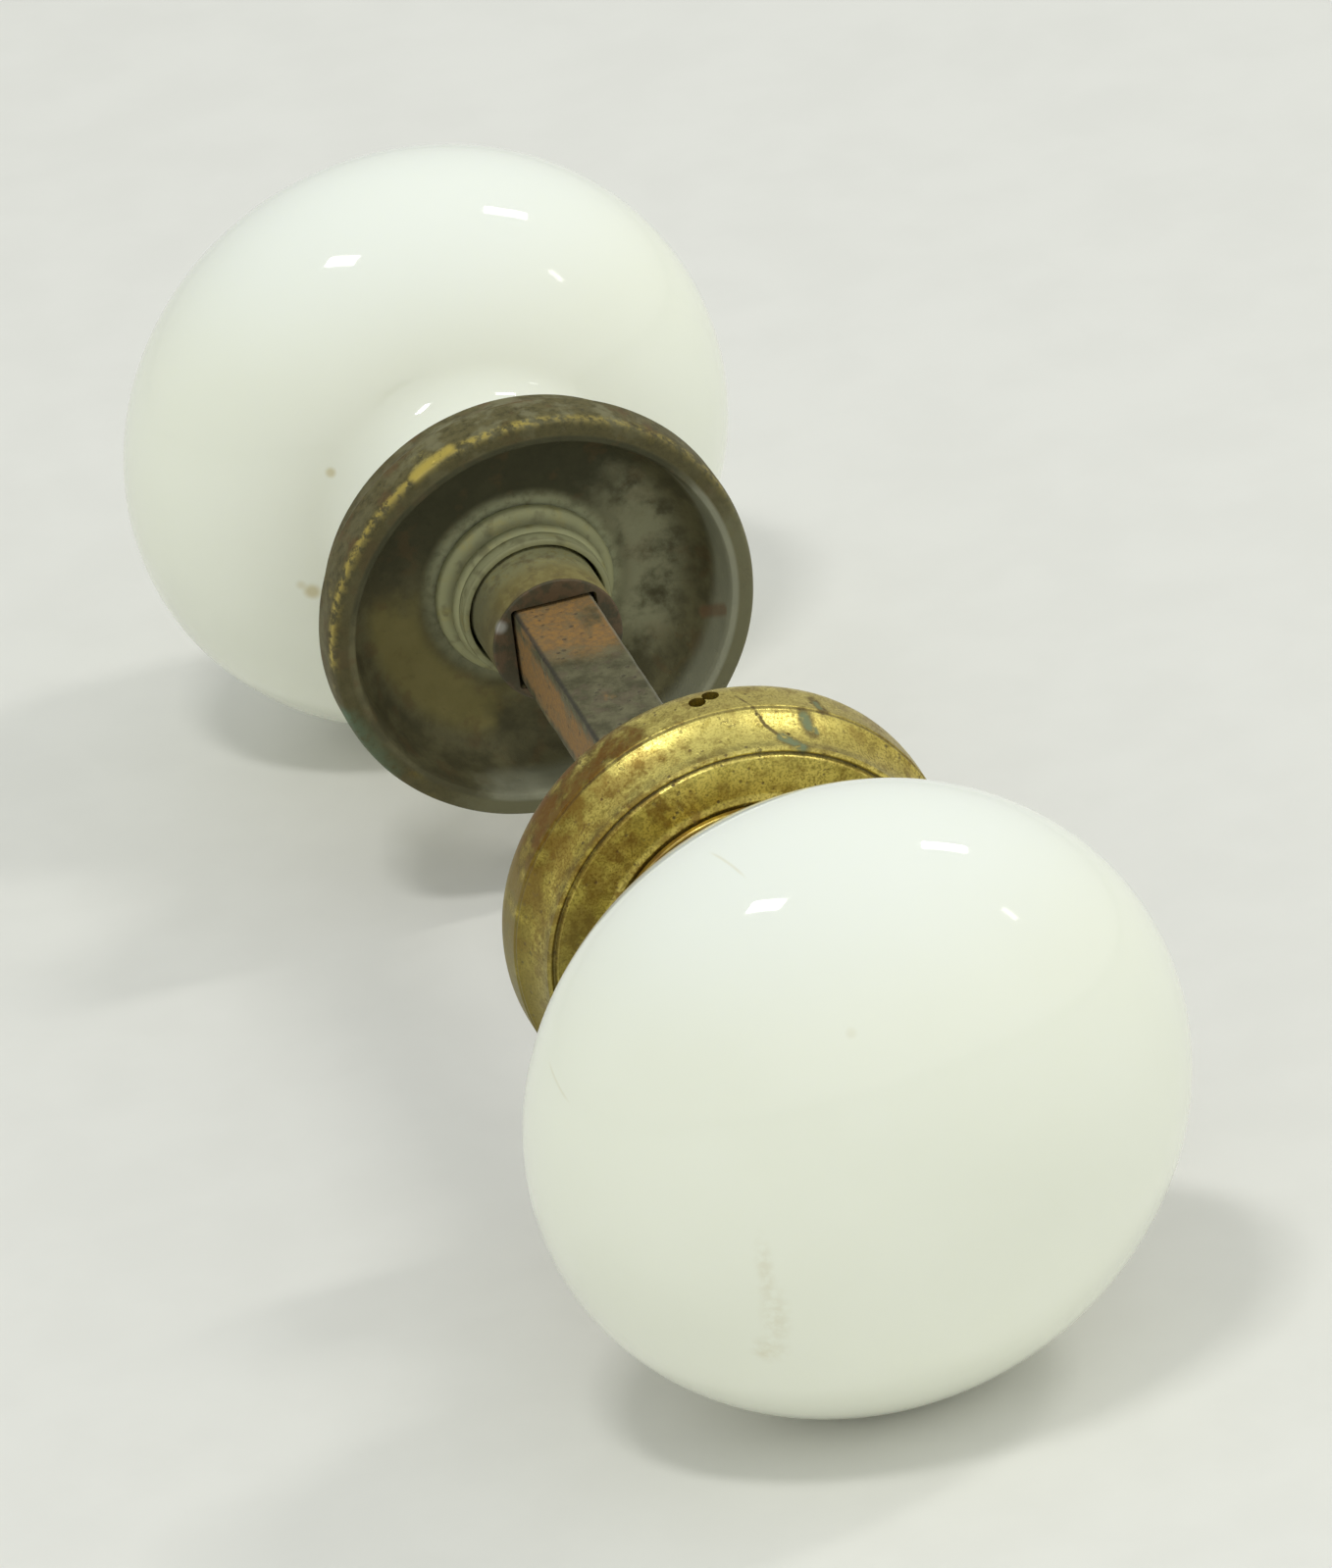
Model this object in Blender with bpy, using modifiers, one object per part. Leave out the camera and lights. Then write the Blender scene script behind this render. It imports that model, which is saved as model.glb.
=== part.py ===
"""Pair of ball door knobs on a square spindle, each knob with its rose.

The spindle runs along Y, the near knob at -Y and the far knob at +Y, and Z is up.
The origin is the middle of the spindle, half way through the door.
Both sides are turned from the same profiles.  A profile point is (radius, height), where the
height is the distance from the middle of the door out towards the knob, in millimetres.
"""
import math

import bmesh
import bpy

MM = 0.001
GAP = 0.3
COLLECTION = "door_knob_set"

# Driving dimensions, in millimetres.
KNOB_RADIUS = 28.5
KNOB_CENTRE = 64.0
KNOB_FRONT = 18.3
KNOB_BACK = 17.7
NECK_RADIUS = 11.6
NECK_FILLET = 5.0
NECK_END = 44.3

ROSE_RADIUS = 19.8
ROSE_BACK = 26.2
ROSE_HEIGHT = 9.6
ROSE_SEAT_RADIUS = 13.6
GROOVE_RADIUS = 17.5
BAND_HEIGHT = 4.4
FLANK_RADIUS = 7.5
FLANK_TOP_TILT = 4.1
FLANK_FOOT_TILT = 36.7
ROSE_HOLE_RADIUS = 7.4
ROSE_WALL = 2.7
FIXING_HOLE_RADIUS = 1.1
FIXING_HOLE_HEIGHT = 1.9

SPINDLE_SIDE = 7.4
SPINDLE_NEAR_END = -55.5
SPINDLE_FAR_END = 50.0
SPINDLE_ARRIS = 0.5

SHANK_RADIUS = 6.0
SHANK_START = 22.0
SHANK_END_CHAMFER = 0.2
SHANK_FLANGE_RADIUS = 8.3
SHANK_FLANGE_START = 53.3
SHANK_FLANGE_END = 56.0
SHANK_END = 58.4
SOCKET_DEPTH = 56.9

COLLAR_RADIUS = 11.3
COLLAR_FLANGE_RADIUS = 13.2
COLLAR_FLANGE_THICKNESS = 1.2
WASHER_RADIUS = 13.4
WASHER_THICKNESS = 0.7

BUSH_LENGTH = 7.2
BUSH_BEAD_RADIUS = 7.3
BUSH_BEAD_HEIGHT = 30.6

SCREW_HEIGHT = 41.2
SCREW_RADIUS = 2.0
PIN_RADIUS = 1.5

ROSE_FRONT = ROSE_BACK + ROSE_HEIGHT
COLLAR_START = ROSE_FRONT + WASHER_THICKNESS + 2 * GAP
COLLAR_END = NECK_END - GAP
BORE_RADIUS = SHANK_RADIUS + GAP
SOCKET_SIDE = SPINDLE_SIDE + 2 * GAP
CAVITY_MOUTH_RADIUS = 8.8
CAVITY_RADIUS = 11.5
CAVITY_STEP = 50.0
CAVITY_END = 60.0

# Facets around each kind of turned piece.
STEPS_LARGE = 40
STEPS_SMALL = 24
STEPS_FINE = 12
SMOOTH_ANGLE = math.radians(32.0)

# Base colour, roughness and metallic value of each finish.
FINISHES = {
    "opal_glass": ((0.83, 0.86, 0.79), 0.08, 0.0),
    "aged_brass": ((0.40, 0.30, 0.10), 0.38, 1.0),
    "tarnished_brass": ((0.24, 0.21, 0.12), 0.50, 1.0),
    "rusty_iron": ((0.24, 0.15, 0.10), 0.62, 0.8),
    "plaster": ((0.78, 0.75, 0.68), 0.90, 0.0),
    "steel": ((0.36, 0.34, 0.31), 0.42, 1.0),
}


def clear_scene():
    for old in list(bpy.data.objects):
        bpy.data.objects.remove(old, do_unlink=True)


def make_collection(name):
    group = bpy.data.collections.new(name)
    bpy.context.scene.collection.children.link(group)
    return group


def make_material(name, finish):
    colour, roughness, metallic = FINISHES[finish]
    material = bpy.data.materials.new(name + "_finish")
    material.use_nodes = True
    shader = material.node_tree.nodes["Principled BSDF"]
    shader.inputs["Base Color"].default_value = (*colour, 1.0)
    shader.inputs["Roughness"].default_value = roughness
    shader.inputs["Metallic"].default_value = metallic
    material.diffuse_color = (*colour, 1.0)
    return material


def make_side(name, outward):
    """An empty whose local Z points out along the spindle: +1 for the far side, -1 for the near."""
    side = bpy.data.objects.new(name, None)
    side.rotation_euler = (-outward * math.pi / 2, 0.0, 0.0)
    bpy.context.scene.collection.objects.link(side)
    return side


def arc(centre, radius, start, end, count):
    """Points of an arc, from one angle to another in degrees; 0 is away from the axis."""
    points = []
    for i in range(count + 1):
        angle = math.radians(start + (end - start) * i / count)
        points.append((centre[0] + radius * math.cos(angle), centre[1] + radius * math.sin(angle)))
    return points


def outline_mesh(name, profile, closed):
    bm = bmesh.new()
    verts = [bm.verts.new((radius * MM, 0.0, height * MM)) for radius, height in profile]
    for a, b in zip(verts, verts[1:]):
        bm.edges.new((a, b))
    if closed:
        bm.edges.new((verts[-1], verts[0]))
    mesh = bpy.data.meshes.new(name)
    bm.to_mesh(mesh)
    bm.free()
    return mesh


def turn(name, profile, closed, steps):
    """A solid turned about local Z; its profile runs down the outside and back up the inside."""
    blank = bpy.data.objects.new(name + "_outline", outline_mesh(name + "_outline", profile, closed))
    bpy.context.scene.collection.objects.link(blank)
    screw = blank.modifiers.new("turn", "SCREW")
    screw.angle = 2 * math.pi
    screw.steps = steps
    screw.render_steps = steps
    screw.use_merge_vertices = True
    screw.merge_threshold = 0.00001
    bpy.context.view_layer.update()
    evaluated = blank.evaluated_get(bpy.context.evaluated_depsgraph_get())
    mesh = bpy.data.meshes.new_from_object(evaluated)
    mesh.name = name
    bpy.data.objects.remove(blank)
    mesh.shade_smooth()
    mesh.set_sharp_from_angle(angle=SMOOTH_ANGLE)
    return bpy.data.objects.new(name, mesh)


def bar(name, side, start, end):
    """A square bar along local Z."""
    bm = bmesh.new()
    bmesh.ops.create_cube(bm, size=1.0)
    bmesh.ops.scale(bm, vec=(side * MM, side * MM, (end - start) * MM), verts=bm.verts)
    bmesh.ops.translate(bm, vec=(0.0, 0.0, (start + end) / 2 * MM), verts=bm.verts)
    mesh = bpy.data.meshes.new(name)
    bm.to_mesh(mesh)
    bm.free()
    return bpy.data.objects.new(name, mesh)


def rod(name, radius, start, end, steps):
    """A plain round rod along local Z, used for pins and drilled holes."""
    return turn(name, [(0.0, end), (radius, end), (radius, start), (0.0, start)], False, steps)


def place(obj, parent, group, finish):
    obj.parent = parent
    obj.data.materials.clear()
    obj.data.materials.append(make_material(obj.name, finish))
    group.objects.link(obj)
    return obj


def cut(target, cutter, parent, group):
    """Subtract the cutter, which stays as a hidden wire guide."""
    cutter.parent = parent
    cutter.hide_render = True
    cutter.display_type = "WIRE"
    if cutter.name not in group.objects:
        group.objects.link(cutter)
    boolean = target.modifiers.new("cut_" + cutter.name, "BOOLEAN")
    boolean.operation = "DIFFERENCE"
    boolean.solver = "EXACT"
    boolean.object = cutter


def neck_blend():
    """Where the neck's fillet meets the ball: the ellipse angle and the fillet's centre."""
    low, high = math.radians(-85.0), math.radians(-20.0)
    for _ in range(40):
        angle = (low + high) / 2
        normal = math.atan2(math.sin(angle) / KNOB_BACK, math.cos(angle) / KNOB_RADIUS)
        reach = KNOB_RADIUS * math.cos(angle) + NECK_FILLET * math.cos(normal)
        if reach < NECK_RADIUS + NECK_FILLET:
            low = angle
        else:
            high = angle
    height = KNOB_CENTRE + KNOB_BACK * math.sin(angle) + NECK_FILLET * math.sin(normal)
    return angle, normal, (NECK_RADIUS + NECK_FILLET, height)


def ball_profile():
    """From the pole over the widest circle and down the fillet to the end of the neck."""
    blend, normal, centre = neck_blend()
    points = []
    for i in range(10):
        angle = math.radians(90.0 - 10.0 * i)
        height = KNOB_CENTRE + KNOB_FRONT * math.sin(angle)
        points.append((KNOB_RADIUS * math.cos(angle), height))
    points[0] = (0.0, KNOB_CENTRE + KNOB_FRONT)
    for i in range(1, 6):
        angle = blend * i / 5
        points.append((KNOB_RADIUS * math.cos(angle), KNOB_CENTRE + KNOB_BACK * math.sin(angle)))
    points += arc(centre, NECK_FILLET, 180.0 + math.degrees(normal), 180.0, 4)[1:]
    points.append((NECK_RADIUS, NECK_END))
    return points


def knob_head(name):
    """Ball of opal glass with an undercut socket for the shank."""
    socket = [
        (CAVITY_MOUTH_RADIUS, NECK_END),
        (CAVITY_MOUTH_RADIUS, CAVITY_STEP),
        (CAVITY_RADIUS, CAVITY_STEP + 1.0),
        (CAVITY_RADIUS, CAVITY_END - 0.8),
        (CAVITY_RADIUS - 0.8, CAVITY_END),
        (0.0, CAVITY_END),
    ]
    return turn(name, ball_profile() + socket, False, STEPS_LARGE)


def cement(name):
    """Plaster fill that locks the shank in the socket of the head."""
    profile = [
        (0.0, CAVITY_END - GAP),
        (CAVITY_RADIUS - 1.2, CAVITY_END - GAP),
        (CAVITY_RADIUS - GAP, CAVITY_END - 1.2),
        (CAVITY_RADIUS - GAP, CAVITY_STEP + 1.0 + GAP),
        (CAVITY_MOUTH_RADIUS - GAP, CAVITY_STEP + GAP),
        (CAVITY_MOUTH_RADIUS - GAP, NECK_END + GAP),
        (SHANK_RADIUS + GAP, NECK_END + GAP),
        (SHANK_RADIUS + GAP, SHANK_FLANGE_START - GAP),
        (SHANK_FLANGE_RADIUS + GAP, SHANK_FLANGE_START - GAP),
        (SHANK_FLANGE_RADIUS + GAP, SHANK_FLANGE_END + GAP),
        (SHANK_RADIUS + GAP, SHANK_FLANGE_END + GAP),
        (SHANK_RADIUS + GAP, SHANK_END + GAP),
        (0.0, SHANK_END + GAP),
    ]
    return turn(name, profile, False, STEPS_SMALL)


def shank(name):
    """Brass stem that runs in the bush, with a flange held by the cement."""
    profile = [
        (0.0, SHANK_END),
        (SHANK_RADIUS, SHANK_END),
        (SHANK_RADIUS, SHANK_FLANGE_END),
        (SHANK_FLANGE_RADIUS, SHANK_FLANGE_END),
        (SHANK_FLANGE_RADIUS, SHANK_FLANGE_START),
        (SHANK_RADIUS, SHANK_FLANGE_START),
        (SHANK_RADIUS, SHANK_START + SHANK_END_CHAMFER),
        (SHANK_RADIUS - SHANK_END_CHAMFER, SHANK_START),
        (0.0, SHANK_START),
    ]
    return turn(name, profile, False, STEPS_SMALL)


def neck_collar(name):
    """Brass collar between the rose and the glass neck; its flange takes the thrust."""
    flange_end = COLLAR_START + COLLAR_FLANGE_THICKNESS
    profile = [
        (BORE_RADIUS, COLLAR_END),
        (COLLAR_RADIUS - 0.3, COLLAR_END),
        (COLLAR_RADIUS, COLLAR_END - 0.3),
        (COLLAR_RADIUS, flange_end),
        (COLLAR_FLANGE_RADIUS - 0.3, flange_end),
        (COLLAR_FLANGE_RADIUS, flange_end - 0.3),
        (COLLAR_FLANGE_RADIUS, COLLAR_START),
        (BORE_RADIUS, COLLAR_START),
    ]
    return turn(name, profile, True, STEPS_LARGE)


def thrust_washer(name):
    """Thin brass washer between the rose and the collar's flange."""
    low = ROSE_FRONT + GAP
    high = low + WASHER_THICKNESS
    profile = [(BORE_RADIUS, high), (WASHER_RADIUS, high), (WASHER_RADIUS, low), (BORE_RADIUS, low)]
    return turn(name, profile, True, STEPS_LARGE)


def rose_bush(name):
    """Short brass sleeve fixed in the rose, in which the shank turns, with a bead and a lip."""
    outer = ROSE_HOLE_RADIUS - GAP
    lip = outer - 0.15
    shoulder = ROSE_FRONT - ROSE_WALL - GAP
    bead = arc((BUSH_BEAD_RADIUS - 0.8, BUSH_BEAD_HEIGHT), 0.8, 60.0, -60.0, 4)
    end = ROSE_FRONT - GAP - BUSH_LENGTH
    profile = [
        (BORE_RADIUS, ROSE_FRONT - GAP),
        (outer, ROSE_FRONT - GAP),
        (outer, shoulder),
        (outer + 1.2, shoulder),
        (outer + 1.2, shoulder - 0.7),
        (outer + 0.4, shoulder - 1.1),
    ]
    profile += bead
    profile += [(lip, end + 1.2), (lip, end + 0.3), (lip - 0.3, end), (BORE_RADIUS, end)]
    return turn(name, profile, True, STEPS_SMALL)


def rose_outside():
    """Down the outside: seat, flat band, groove, hollowed flank, step and rounded outer band.

    The flank is a hollow arc, and its tilt is the angle of its face from the radial direction."""
    band_top = ROSE_BACK + BAND_HEIGHT
    points = [
        (ROSE_SEAT_RADIUS, ROSE_FRONT),
        (ROSE_SEAT_RADIUS + 0.3, ROSE_FRONT - 0.3),
        (GROOVE_RADIUS - 0.25, ROSE_FRONT - 0.5),
        (GROOVE_RADIUS, ROSE_FRONT - 0.9),
        (GROOVE_RADIUS + 0.3, ROSE_FRONT - 0.65),
    ]
    tilt = math.radians(FLANK_FOOT_TILT)
    foot = (ROSE_RADIUS - 0.3, band_top + 0.4)
    centre = (foot[0] + FLANK_RADIUS * math.cos(tilt), foot[1] + FLANK_RADIUS * math.sin(tilt))
    points += arc(centre, FLANK_RADIUS, 180.0 + FLANK_TOP_TILT, 180.0 + FLANK_FOOT_TILT, 4)
    points += [
        (ROSE_RADIUS - 0.1, band_top - 0.2),
        (ROSE_RADIUS - 0.02, band_top - 1.3),
        (ROSE_RADIUS, ROSE_BACK + 1.6),
        (ROSE_RADIUS - 0.1, ROSE_BACK + 0.6),
        (ROSE_RADIUS - 0.5, ROSE_BACK),
    ]
    return points


def rose_inside():
    """Up the inside of the bowl, from the rim that meets the door to the central hole."""
    floor = ROSE_FRONT - ROSE_WALL
    rim = ROSE_RADIUS - 2.3
    points = [(rim, ROSE_BACK), (rim - 0.2, ROSE_BACK + 0.4)]
    points += arc((rim - 4.6, floor - 4.0), 4.0, 0.0, 90.0, 5)
    points.append((ROSE_HOLE_RADIUS, floor))
    return points


def rose(name):
    """Turned brass rose, open at the back, with a hole in its side for the fixing pin."""
    profile = [(ROSE_HOLE_RADIUS, ROSE_FRONT)] + rose_outside() + rose_inside()
    return turn(name, profile, True, STEPS_LARGE)


def fixing_drill(name):
    """Radial cutter for a rose's fixing hole: on top of the near rose and underneath the far one."""
    drill = rod(name, FIXING_HOLE_RADIUS, ROSE_RADIUS - 5.0, ROSE_RADIUS + 3.0, STEPS_FINE)
    return aim_up(drill, -1, ROSE_BACK + FIXING_HOLE_HEIGHT)


def aim_up(obj, outward, height):
    """Stand a rod's axis up along the world's Z, at a height along the side's own axis."""
    obj.rotation_euler = (outward * math.pi / 2, 0.0, 0.0)
    obj.location = (0.0, 0.0, height * MM)
    return obj


def aim_across(obj, height):
    """Lay a rod's axis along X, at a height along the side's own axis."""
    obj.rotation_euler = (0.0, math.pi / 2, 0.0)
    obj.location = (0.0, 0.0, height * MM)
    return obj


def spindle(name):
    """Square iron bar with eased edges."""
    bar_obj = bar(name, SPINDLE_SIDE, SPINDLE_NEAR_END, SPINDLE_FAR_END)
    bevel = bar_obj.modifiers.new("arris", "BEVEL")
    bevel.width = SPINDLE_ARRIS * MM
    bevel.segments = 1
    bevel.limit_method = "ANGLE"
    return bar_obj


def grub_screw(name):
    """Slotted headless screw that grips the spindle; its point is a short cone."""
    tip = SPINDLE_SIDE / 2 + GAP
    head = COLLAR_RADIUS - 0.3
    profile = [
        (0.0, head),
        (SCREW_RADIUS - 0.3, head),
        (SCREW_RADIUS, head - 0.3),
        (SCREW_RADIUS, tip + 0.8),
        (SCREW_RADIUS - 0.9, tip),
        (0.0, tip),
    ]
    return turn(name, profile, False, STEPS_FINE)


def screw_slot(name):
    slot = bar(name, 1.0, 0.0, 1.0)
    slot.scale = (0.8, 6.0, 3.0)
    slot.location = (0.0, 0.0, (COLLAR_RADIUS - 1.4) * MM)
    return slot


def cross_pin(name):
    """Riveted pin that fixes the near knob to the spindle."""
    half = COLLAR_RADIUS - 0.2
    profile = [
        (0.0, half),
        (PIN_RADIUS - 0.3, half),
        (PIN_RADIUS, half - 0.3),
        (PIN_RADIUS, -half + 0.3),
        (PIN_RADIUS - 0.3, -half),
        (0.0, -half),
    ]
    return turn(name, profile, False, STEPS_FINE)


def build_side(prefix, outward, parts, cutters):
    """The pieces that both sides share; returns them by their short names."""
    side = make_side(prefix + "_side", outward)
    pieces = {
        "knob_head": place(knob_head(prefix + "_knob_head"), side, parts, "opal_glass"),
        "cement": place(cement(prefix + "_cement"), side, parts, "plaster"),
        "shank": place(shank(prefix + "_shank"), side, parts, "tarnished_brass"),
        "neck_collar": place(neck_collar(prefix + "_neck_collar"), side, parts, "aged_brass"),
        "thrust_washer": place(thrust_washer(prefix + "_thrust_washer"), side, parts, "aged_brass"),
        "rose_bush": place(rose_bush(prefix + "_rose_bush"), side, parts, "tarnished_brass"),
        "rose": place(rose(prefix + "_rose"), side, parts, "aged_brass"),
    }
    socket = bar(prefix + "_socket_cutter", SOCKET_SIDE, SHANK_START - 5.0, SOCKET_DEPTH)
    cut(pieces["shank"], socket, side, cutters)
    cut(pieces["rose"], fixing_drill(prefix + "_fixing_drill"), side, cutters)
    return side, pieces


def build():
    clear_scene()
    parts = make_collection(COLLECTION)
    cutters = make_collection("cutters")

    near, near_pieces = build_side("near", -1, parts, cutters)
    far, far_pieces = build_side("far", 1, parts, cutters)
    bar_obj = place(spindle("spindle"), far, parts, "rusty_iron")

    place(aim_across(cross_pin("near_cross_pin"), SCREW_HEIGHT), near, parts, "steel")
    pin_drill = rod("pin_drill", PIN_RADIUS + GAP, -20.0, 20.0, STEPS_FINE)
    aim_across(pin_drill, SCREW_HEIGHT)
    for target in (near_pieces["neck_collar"], near_pieces["shank"], bar_obj):
        cut(target, pin_drill, near, cutters)

    screw = place(aim_up(grub_screw("far_grub_screw"), 1, SCREW_HEIGHT), far, parts, "steel")
    cut(screw, screw_slot("slot_cutter"), screw, cutters)
    screw_drill = rod("screw_drill", SCREW_RADIUS + GAP, 0.5, 20.0, STEPS_FINE)
    aim_up(screw_drill, 1, SCREW_HEIGHT)
    for target in (far_pieces["neck_collar"], far_pieces["shank"]):
        cut(target, screw_drill, far, cutters)
    bpy.context.view_layer.update()


build()
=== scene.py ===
"""Looks of a pair of white ball door knobs on a square iron spindle, each with its brass rose.

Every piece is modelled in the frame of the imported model: the spindle runs along Y, the near side
is at -Y and the far side at +Y, and Z is up.  Turned pieces are described by (radius, height)
outlines in millimetres, where the height is the distance from the middle out along Y.
"""
import math

import bmesh
import bpy
from mathutils import Matrix, Vector, noise


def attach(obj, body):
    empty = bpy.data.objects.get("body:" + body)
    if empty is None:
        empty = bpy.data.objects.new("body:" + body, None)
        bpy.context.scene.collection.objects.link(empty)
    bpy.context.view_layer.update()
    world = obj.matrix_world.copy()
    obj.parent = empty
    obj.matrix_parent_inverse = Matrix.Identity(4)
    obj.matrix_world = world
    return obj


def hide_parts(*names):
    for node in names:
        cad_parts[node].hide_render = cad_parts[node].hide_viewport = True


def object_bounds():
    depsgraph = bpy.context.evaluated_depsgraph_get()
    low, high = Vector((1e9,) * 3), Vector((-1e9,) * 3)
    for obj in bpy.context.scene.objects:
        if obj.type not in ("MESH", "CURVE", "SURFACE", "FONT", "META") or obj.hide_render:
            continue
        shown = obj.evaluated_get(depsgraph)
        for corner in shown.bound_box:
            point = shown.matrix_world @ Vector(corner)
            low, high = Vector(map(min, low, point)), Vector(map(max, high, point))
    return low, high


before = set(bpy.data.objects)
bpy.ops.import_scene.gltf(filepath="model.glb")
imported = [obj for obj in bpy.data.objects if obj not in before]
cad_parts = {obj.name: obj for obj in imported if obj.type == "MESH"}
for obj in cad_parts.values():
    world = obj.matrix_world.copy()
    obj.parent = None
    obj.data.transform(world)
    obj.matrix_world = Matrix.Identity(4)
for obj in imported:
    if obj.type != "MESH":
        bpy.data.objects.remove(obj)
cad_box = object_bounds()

MM = 0.001
NEAR = -1
FAR = 1
PREFIX = {NEAR: "near", FAR: "far"}

# Sizes in millimetres, as in the CAD.  Ends, starts and steps are heights from the middle.
GAP = 0.3
KNOB_RADIUS = 28.5
KNOB_CENTRE = 64.0
KNOB_FRONT = 18.3
KNOB_BACK = 17.7
NECK_RADIUS = 11.6
NECK_FILLET = 5.0
NECK_END = 44.3
CAVITY_MOUTH_RADIUS = 8.8
CAVITY_RADIUS = 11.5
CAVITY_STEP = 50.0
CAVITY_END = 60.0

ROSE_RADIUS = 19.8
ROSE_BACK = 26.2
ROSE_FRONT = 35.8
ROSE_SEAT_RADIUS = 13.6
GROOVE_RADIUS = 17.5
BAND_TOP = 30.6
FLANK_RADIUS = 7.5
FLANK_TOP_TILT = 4.1
FLANK_FOOT_TILT = 35.0
ROSE_HOLE_RADIUS = 7.4
ROSE_FLOOR = 33.1

# The ragged fixing hole of a rose is two drillings side by side, given by X and the distance
# along Y from its middle.  Each runs from one height to another; the far one is blind.
FIXING_HEIGHT = 28.05
FIXING_RADIUS = 0.75
FIXING_DRILLINGS = ((-0.55, 0.3), (0.80, -0.3))
FIXING_REACH = {NEAR: (14.0, 24.0), FAR: (-24.0, -18.4)}

SPINDLE_SIDE = 7.4
SPINDLE_NEAR_END = -55.5
SPINDLE_FAR_END = 50.0
SPINDLE_ARRIS = 0.5

SHANK_RADIUS = 6.0
SHANK_START = 22.0
SHANK_FLANGE_RADIUS = 8.3
SHANK_FLANGE_START = 53.3
SHANK_FLANGE_END = 56.0
SHANK_END = 58.4
SOCKET_SIDE = 8.0
SOCKET_DEPTH = 56.9

COLLAR_RADIUS = 11.3
COLLAR_FLANGE_RADIUS = 13.2
COLLAR_START = 37.1
COLLAR_FLANGE_END = 38.3
COLLAR_END = 44.0
WASHER_RADIUS = 13.4
WASHER_START = 36.1
WASHER_END = 36.8
BORE_RADIUS = 6.3
BUSH_RADIUS = 8.3
BUSH_TUBE_RADIUS = 6.95
BUSH_START = 28.3
BUSH_SHOULDER = 32.8
BUSH_END = 35.5

SCREW_HEIGHT = 41.2
SCREW_RADIUS = 2.0
SCREW_PITCH = 0.7
THREAD_DEPTH = 0.30
PIN_RADIUS = 1.5
DRILL_REACH = 20.0

# Camera: the object is seen from above and in front, with the camera rolled a little.
CAMERA_AZIMUTH = -13.6
CAMERA_ELEVATION = 29.96
CAMERA_ROLL = -7.36
CAMERA_DISTANCE = 1.0027
CAMERA_LENS = 264.4
CAMERA_AIM = (0.0021, -0.0026, -0.0025)

# Surroundings: pale all round, with a broad glow towards the fill direction.
WORLD_LEVEL = (0.66, 0.66, 0.62, 1.0)
WORLD_ABOVE = (0.60, 0.63, 0.63, 1.0)
FILL_DIRECTION = (0.55, -0.80, -0.10)
FILL_STRENGTH = 0.24

# Soft boxes: name, direction, size in metres, watts and colour.
LIGHT_DISTANCE = 1.0
LIGHTS = (
    ("key_window", (-0.228, -0.27, 0.935), (0.19, 0.08), 2.2, (1.0, 1.0, 0.98)),
    ("side_window", (0.621, -0.01, 0.782), (0.08, 0.21), 1.4, (1.0, 0.99, 0.96)),
    ("low_window", (0.767, -0.44, 0.469), (0.035, 0.09), 0.05, (1.0, 0.98, 0.94)),
)
FLOOR_REACH = 3.0

SMOOTH_ANGLE = math.radians(38.0)


# ---- mesh helpers


def arc(centre, radius, start, end, count):
    """Points of an arc, from one angle to another in degrees; 0 is away from the axis."""
    points = []
    for i in range(count + 1):
        angle = math.radians(start + (end - start) * i / count)
        points.append((centre[0] + radius * math.cos(angle), centre[1] + radius * math.sin(angle)))
    return points


def eased(points, closed):
    """Round the corners of an outline; a point may carry a third number, its corner's size."""
    result = []
    last = len(points) - 1
    for i, point in enumerate(points):
        ease = point[2] if len(point) > 2 else 0.0
        if ease == 0.0 or (not closed and i in (0, last)):
            result.append(point[:2])
            continue
        here = Vector(point[:2])
        before = Vector(points[i - 1][:2]) - here
        after = Vector(points[(i + 1) % len(points)][:2]) - here
        reach_before = min(ease, 0.45 * before.length)
        reach_after = min(ease, 0.45 * after.length)
        start = here + before.normalized() * reach_before
        end = here + after.normalized() * reach_after
        for k in range(5):
            s = k / 4
            spot = start * (1 - s) ** 2 + here * 2 * s * (1 - s) + end * s ** 2
            result.append((spot.x, spot.y))
    return result


def filled(points, closed, step):
    """Add points to the long straight runs of an outline, so that no run is longer than step."""
    result = []
    pairs = list(zip(points, points[1:]))
    if closed:
        pairs.append((points[-1], points[0]))
    for a, b in pairs:
        count = max(1, math.ceil(math.dist(a, b) / step))
        for k in range(count):
            result.append((a[0] + (b[0] - a[0]) * k / count, a[1] + (b[1] - a[1]) * k / count))
    if not closed:
        result.append(points[-1])
    return result


def mesh_object(name, verts, faces):
    """A closed mesh from points in metres, with its normals outwards and smooth shading."""
    mesh = bpy.data.meshes.new(name)
    mesh.from_pydata(verts, [], faces)
    bm = bmesh.new()
    bm.from_mesh(mesh)
    bmesh.ops.recalc_face_normals(bm, faces=bm.faces)
    bm.to_mesh(mesh)
    bm.free()
    obj = bpy.data.objects.new(name, mesh)
    bpy.context.scene.collection.objects.link(obj)
    smooth(obj)
    return obj


def smooth(obj):
    """Smooth shading, with the sharper edges kept."""
    obj.data.shade_smooth()
    obj.data.set_sharp_from_angle(angle=SMOOTH_ANGLE)


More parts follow.
